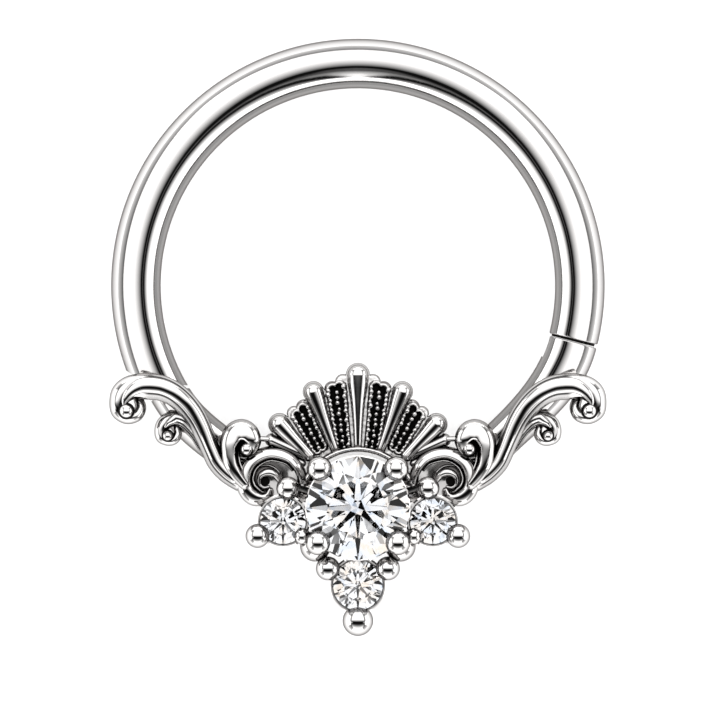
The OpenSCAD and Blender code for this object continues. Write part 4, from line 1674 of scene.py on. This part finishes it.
@dataclass
class Studio:
    """Pale floor, soft lamps and a long lens straight above the ring."""

    photo_width: float = 17.335
    aim: tuple[float, float, float] = (0.051, -1.794, 1.0)
    lens: float = 800.0
    sensor: float = 36.0
    floor_size: float = 900.0
    bright: str = "#FEFEFE"
    pale: str = "#FCFCFC"
    fibre_mm: float = 0.4
    # The air's grey at the horizon and at the ceiling's edge, where that is and where the dark
    # over the lamps starts, as shares of the way up, and how bright the dark and the backdrop are
    horizon: float = 0.80
    below_ceiling: float = 0.20
    ceiling_edge: float = 0.42
    dark_from: float = 0.50
    overhead: float = 0.02
    backdrop: float = 0.93
    # The far ceiling: its height, how far down the hoop it is centred, and its radiance
    far: float = 60.0
    down: float = 4.5
    white: float = 1.35

    def _floor(self) -> None:
        """Lays a matt white sheet under the ring."""
        mesh = bpy.data.meshes.new("studio_floor")
        half = self.floor_size / 2 * MM
        corners = [(-half, -half, 0), (half, -half, 0), (half, half, 0), (-half, half, 0)]
        mesh.from_pydata(corners, [], [(0, 1, 2, 3)])
        # Paper scatters the light evenly, so the sheet shows no image of the ring
        made, shader, place = start_material("matt white paper")
        fibre = add_node(made.node_tree, "TexNoise", {
            "Vector": place, "Scale": 1 / (self.fibre_mm * MM), "Detail": 4.0})
        colour = add_node(made.node_tree, "Mix", {
            "Factor": fibre, "A": linear(self.bright), "B": linear(self.pale)}, data_type="RGBA")
        feed(shader, {"Base Color": colour, "Roughness": 0.9, "Specular IOR Level": 0.0})
        mesh.materials.append(made)
        sheet = add_object("studio_floor", mesh)
        LIGHT_SETS[Lit.FLOOR].objects.link(sheet)
        NO_SHADOWS.objects.link(sheet)

    def _camera(self) -> None:
        """Sets the long lens over the ring."""
        data = bpy.data.cameras.new("long_lens")
        data.lens, data.sensor_width = self.lens, self.sensor
        # From this far over the aim, the lens takes in the photo's width
        rise = self.photo_width / 2 / (self.sensor / 2 / self.lens)
        camera = add_object("long_lens", data)
        camera.location = (self.aim[0] * MM, (self.aim[1] + HOOP_Y) * MM, (self.aim[2] + rise) * MM)
        data.clip_start, data.clip_end = 0.01, 10.0
        bpy.context.scene.camera = camera

    def _world(self) -> None:
        """Lights the horizon grey and leaves the sky over the lamps dark."""
        world = bpy.data.worlds.new("studio_air")
        world.use_nodes = True
        bpy.context.scene.world = world
        tree = world.node_tree
        place = add_node(tree, "TexCoord").outputs["Generated"]
        up = add_node(tree, "SeparateXYZ", {0: place}).outputs["Z"]
        grey = add_node(tree, "MapRange", {
            "Value": up, "From Min": 0.0, "From Max": self.ceiling_edge,
            "To Min": self.horizon, "To Max": self.below_ceiling})
        low = add_node(tree, "MapRange", {
            "Value": up, "From Min": self.ceiling_edge, "From Max": self.dark_from,
            "To Min": 1.0, "To Max": self.overhead})
        both = add_node(tree, "Math", {0: grey, 1: low}, operation="MULTIPLY")
        seen = add_node(tree, "LightPath").outputs["Is Camera Ray"]
        strength = add_node(tree, "Mix", {"Factor": seen, "A": both, "B": self.backdrop}, data_type="FLOAT")
        feed(tree.nodes["Background"], {"Color": (1, 1, 1, 1), "Strength": strength})

    def _ceiling(self, name: str, x: Row, y: Row, radiance: float, lit: Lit, fades: Row) -> Softbox:
        """Hangs a lamp on the far ceiling.

        Args:
            name: its name.
            x: the angles from the zenith between which it lies across, in degrees.
            y: the same up the hoop.
            radiance: how bright it is.
            lit: what it lights.
            fades: how far each of its edges fades in.

        Returns:
            The lamp, not yet built.
        """
        x0, x1, y0, y1 = [self.far * math.tan(math.radians(angle)) for angle in (*x, *y)]
        middle = ((x0 + x1) / 2, (y0 + y1) / 2 - self.down, self.far)
        return Softbox(name, middle, (x1 - x0, y1 - y0), (*middle[:2], 0), radiance, lit, tuple(fades))

    def _lamps(self) -> None:
        """Hangs the lamps of each set."""
        boxes = [
            Softbox("hoop_ceiling", (0, 0.5, 9.3), (40, 47), (0, 0.5, 0), 1.28, Lit.HOOP,
                    arch=Horseshoe(0.0, 1.35, 0.95, 50.0, 0.55, 5.2)),
            Softbox("hoop_middle", (0, 0, 1.5), (8.1, 8.1), (0, 0, 0), 1.28, Lit.HOOP, oval=True),
            self._ceiling("front_top", (-52, 52), (-12, 67), self.white, Lit.FRONT, (14, 14, 22, 20)),
            self._ceiling("front_low", (-56, 56), (-68, -24), self.white, Lit.FRONT, (30, 30, 20, 75)),
            self._ceiling("front_wing_left", (-62, -36), (-45, -2), 0.9, Lit.FRONT, (10, 30, 20, 20)),
            self._ceiling("front_wing_right", (36, 62), (-45, -2), 0.9, Lit.FRONT, (30, 10, 20, 20)),
            Softbox("front_near", (0, -125, 25), (150, 60), (0, -4, 0), 1.2, Lit.FRONT),
            Softbox("front_back", (0, 120, 25), (200, 50), (0, -4, 0), 1.2, Lit.FRONT),
            Softbox("front_left", (-125, 0, 35), (150, 80), (0, -4, 0), 1.25, Lit.FRONT),
            Softbox("front_right", (125, 0, 35), (150, 80), (0, -4, 0), 1.25, Lit.FRONT),
            replace(self._ceiling("stones_wide", (-64, 64), (-64, 64), 1.38, Lit.STONES, (4, 4, 4, 4)),
                    arch=Horseshoe(0.0, -0.5, 0.01, 0.0, 2.0, 5.0), scraps=Scraps(12.5, 2.7, 0.395, 0.475)),
            Softbox("floor_fill", (0, -1, 100), (600, 600), (0, -1, 0), 1.45, Lit.FLOOR, casts=False),
            Softbox("floor_key", (0, -1, 100), (600, 600), (0, -1, 0), 0.05, Lit.FLOOR),
        ]
        for box in boxes:
            box.build()

    def build(self) -> None:
        """Sets up the studio."""
        self._floor()
        self._camera()
        self._world()
        self._lamps()
        bpy.context.scene.view_settings.view_transform = "Standard"


def main() -> None:
    """Builds the ring and its studio."""
    logging.basicConfig(level=logging.INFO, format="%(name)s: %(message)s")
    # Drawn wire is even, so its reflections run unbroken round the hoop. Its finish takes painted shade on
    # its steep flanks and on the flank that faces the hoop's middle, and lighter painted shade in its
    # recesses
    wire = PolishedSteel("surgical steel wire, drawn and mirror polished", flank=(0.72, 0.2, 0.8),
                         recess_share=0.3, inside=0.62).material()
    # The front is bright on its crests, with painted shade in its recesses and on its steep flanks
    casting = PolishedSteel("surgical steel, cast and mirror polished").material()
    # Hooks and volutes take a lighter copy of that finish, whose painted shade in recesses reaches only their
    # narrow grooves
    light = PolishedSteel("surgical steel, cast, with light patina", recess_mm=0.12,
                          recess_share=0.3).material()
    # The shell's grounds were left as cast, so they glitter between the beads, and their recesses take
    # lighter painted shade
    chased = PolishedSteel("surgical steel, cast and lightly buffed", recess_mm=0.1, recess_share=0.35,
                           wave_mm=0.16, wave_depth_mm=0.008).material()
    stone = CutZirconia().material()
    hoop = Hoop(wire)
    hoop.hinged_arc()
    hoop.lower_arc()
    hoop.dress_pin()
    Scrollwork(casting, light).build()
    Fan(casting, chased).build()
    names = ("centre_stone", "left_stone", "right_stone", "tip_stone")
    stones = {name: Brilliant(name, stone) for name in names}
    Settings(casting).build(stones)
    for cut in stones.values():
        cut.build()
    Studio().build()
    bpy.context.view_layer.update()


if __name__ == "__main__":
    main()
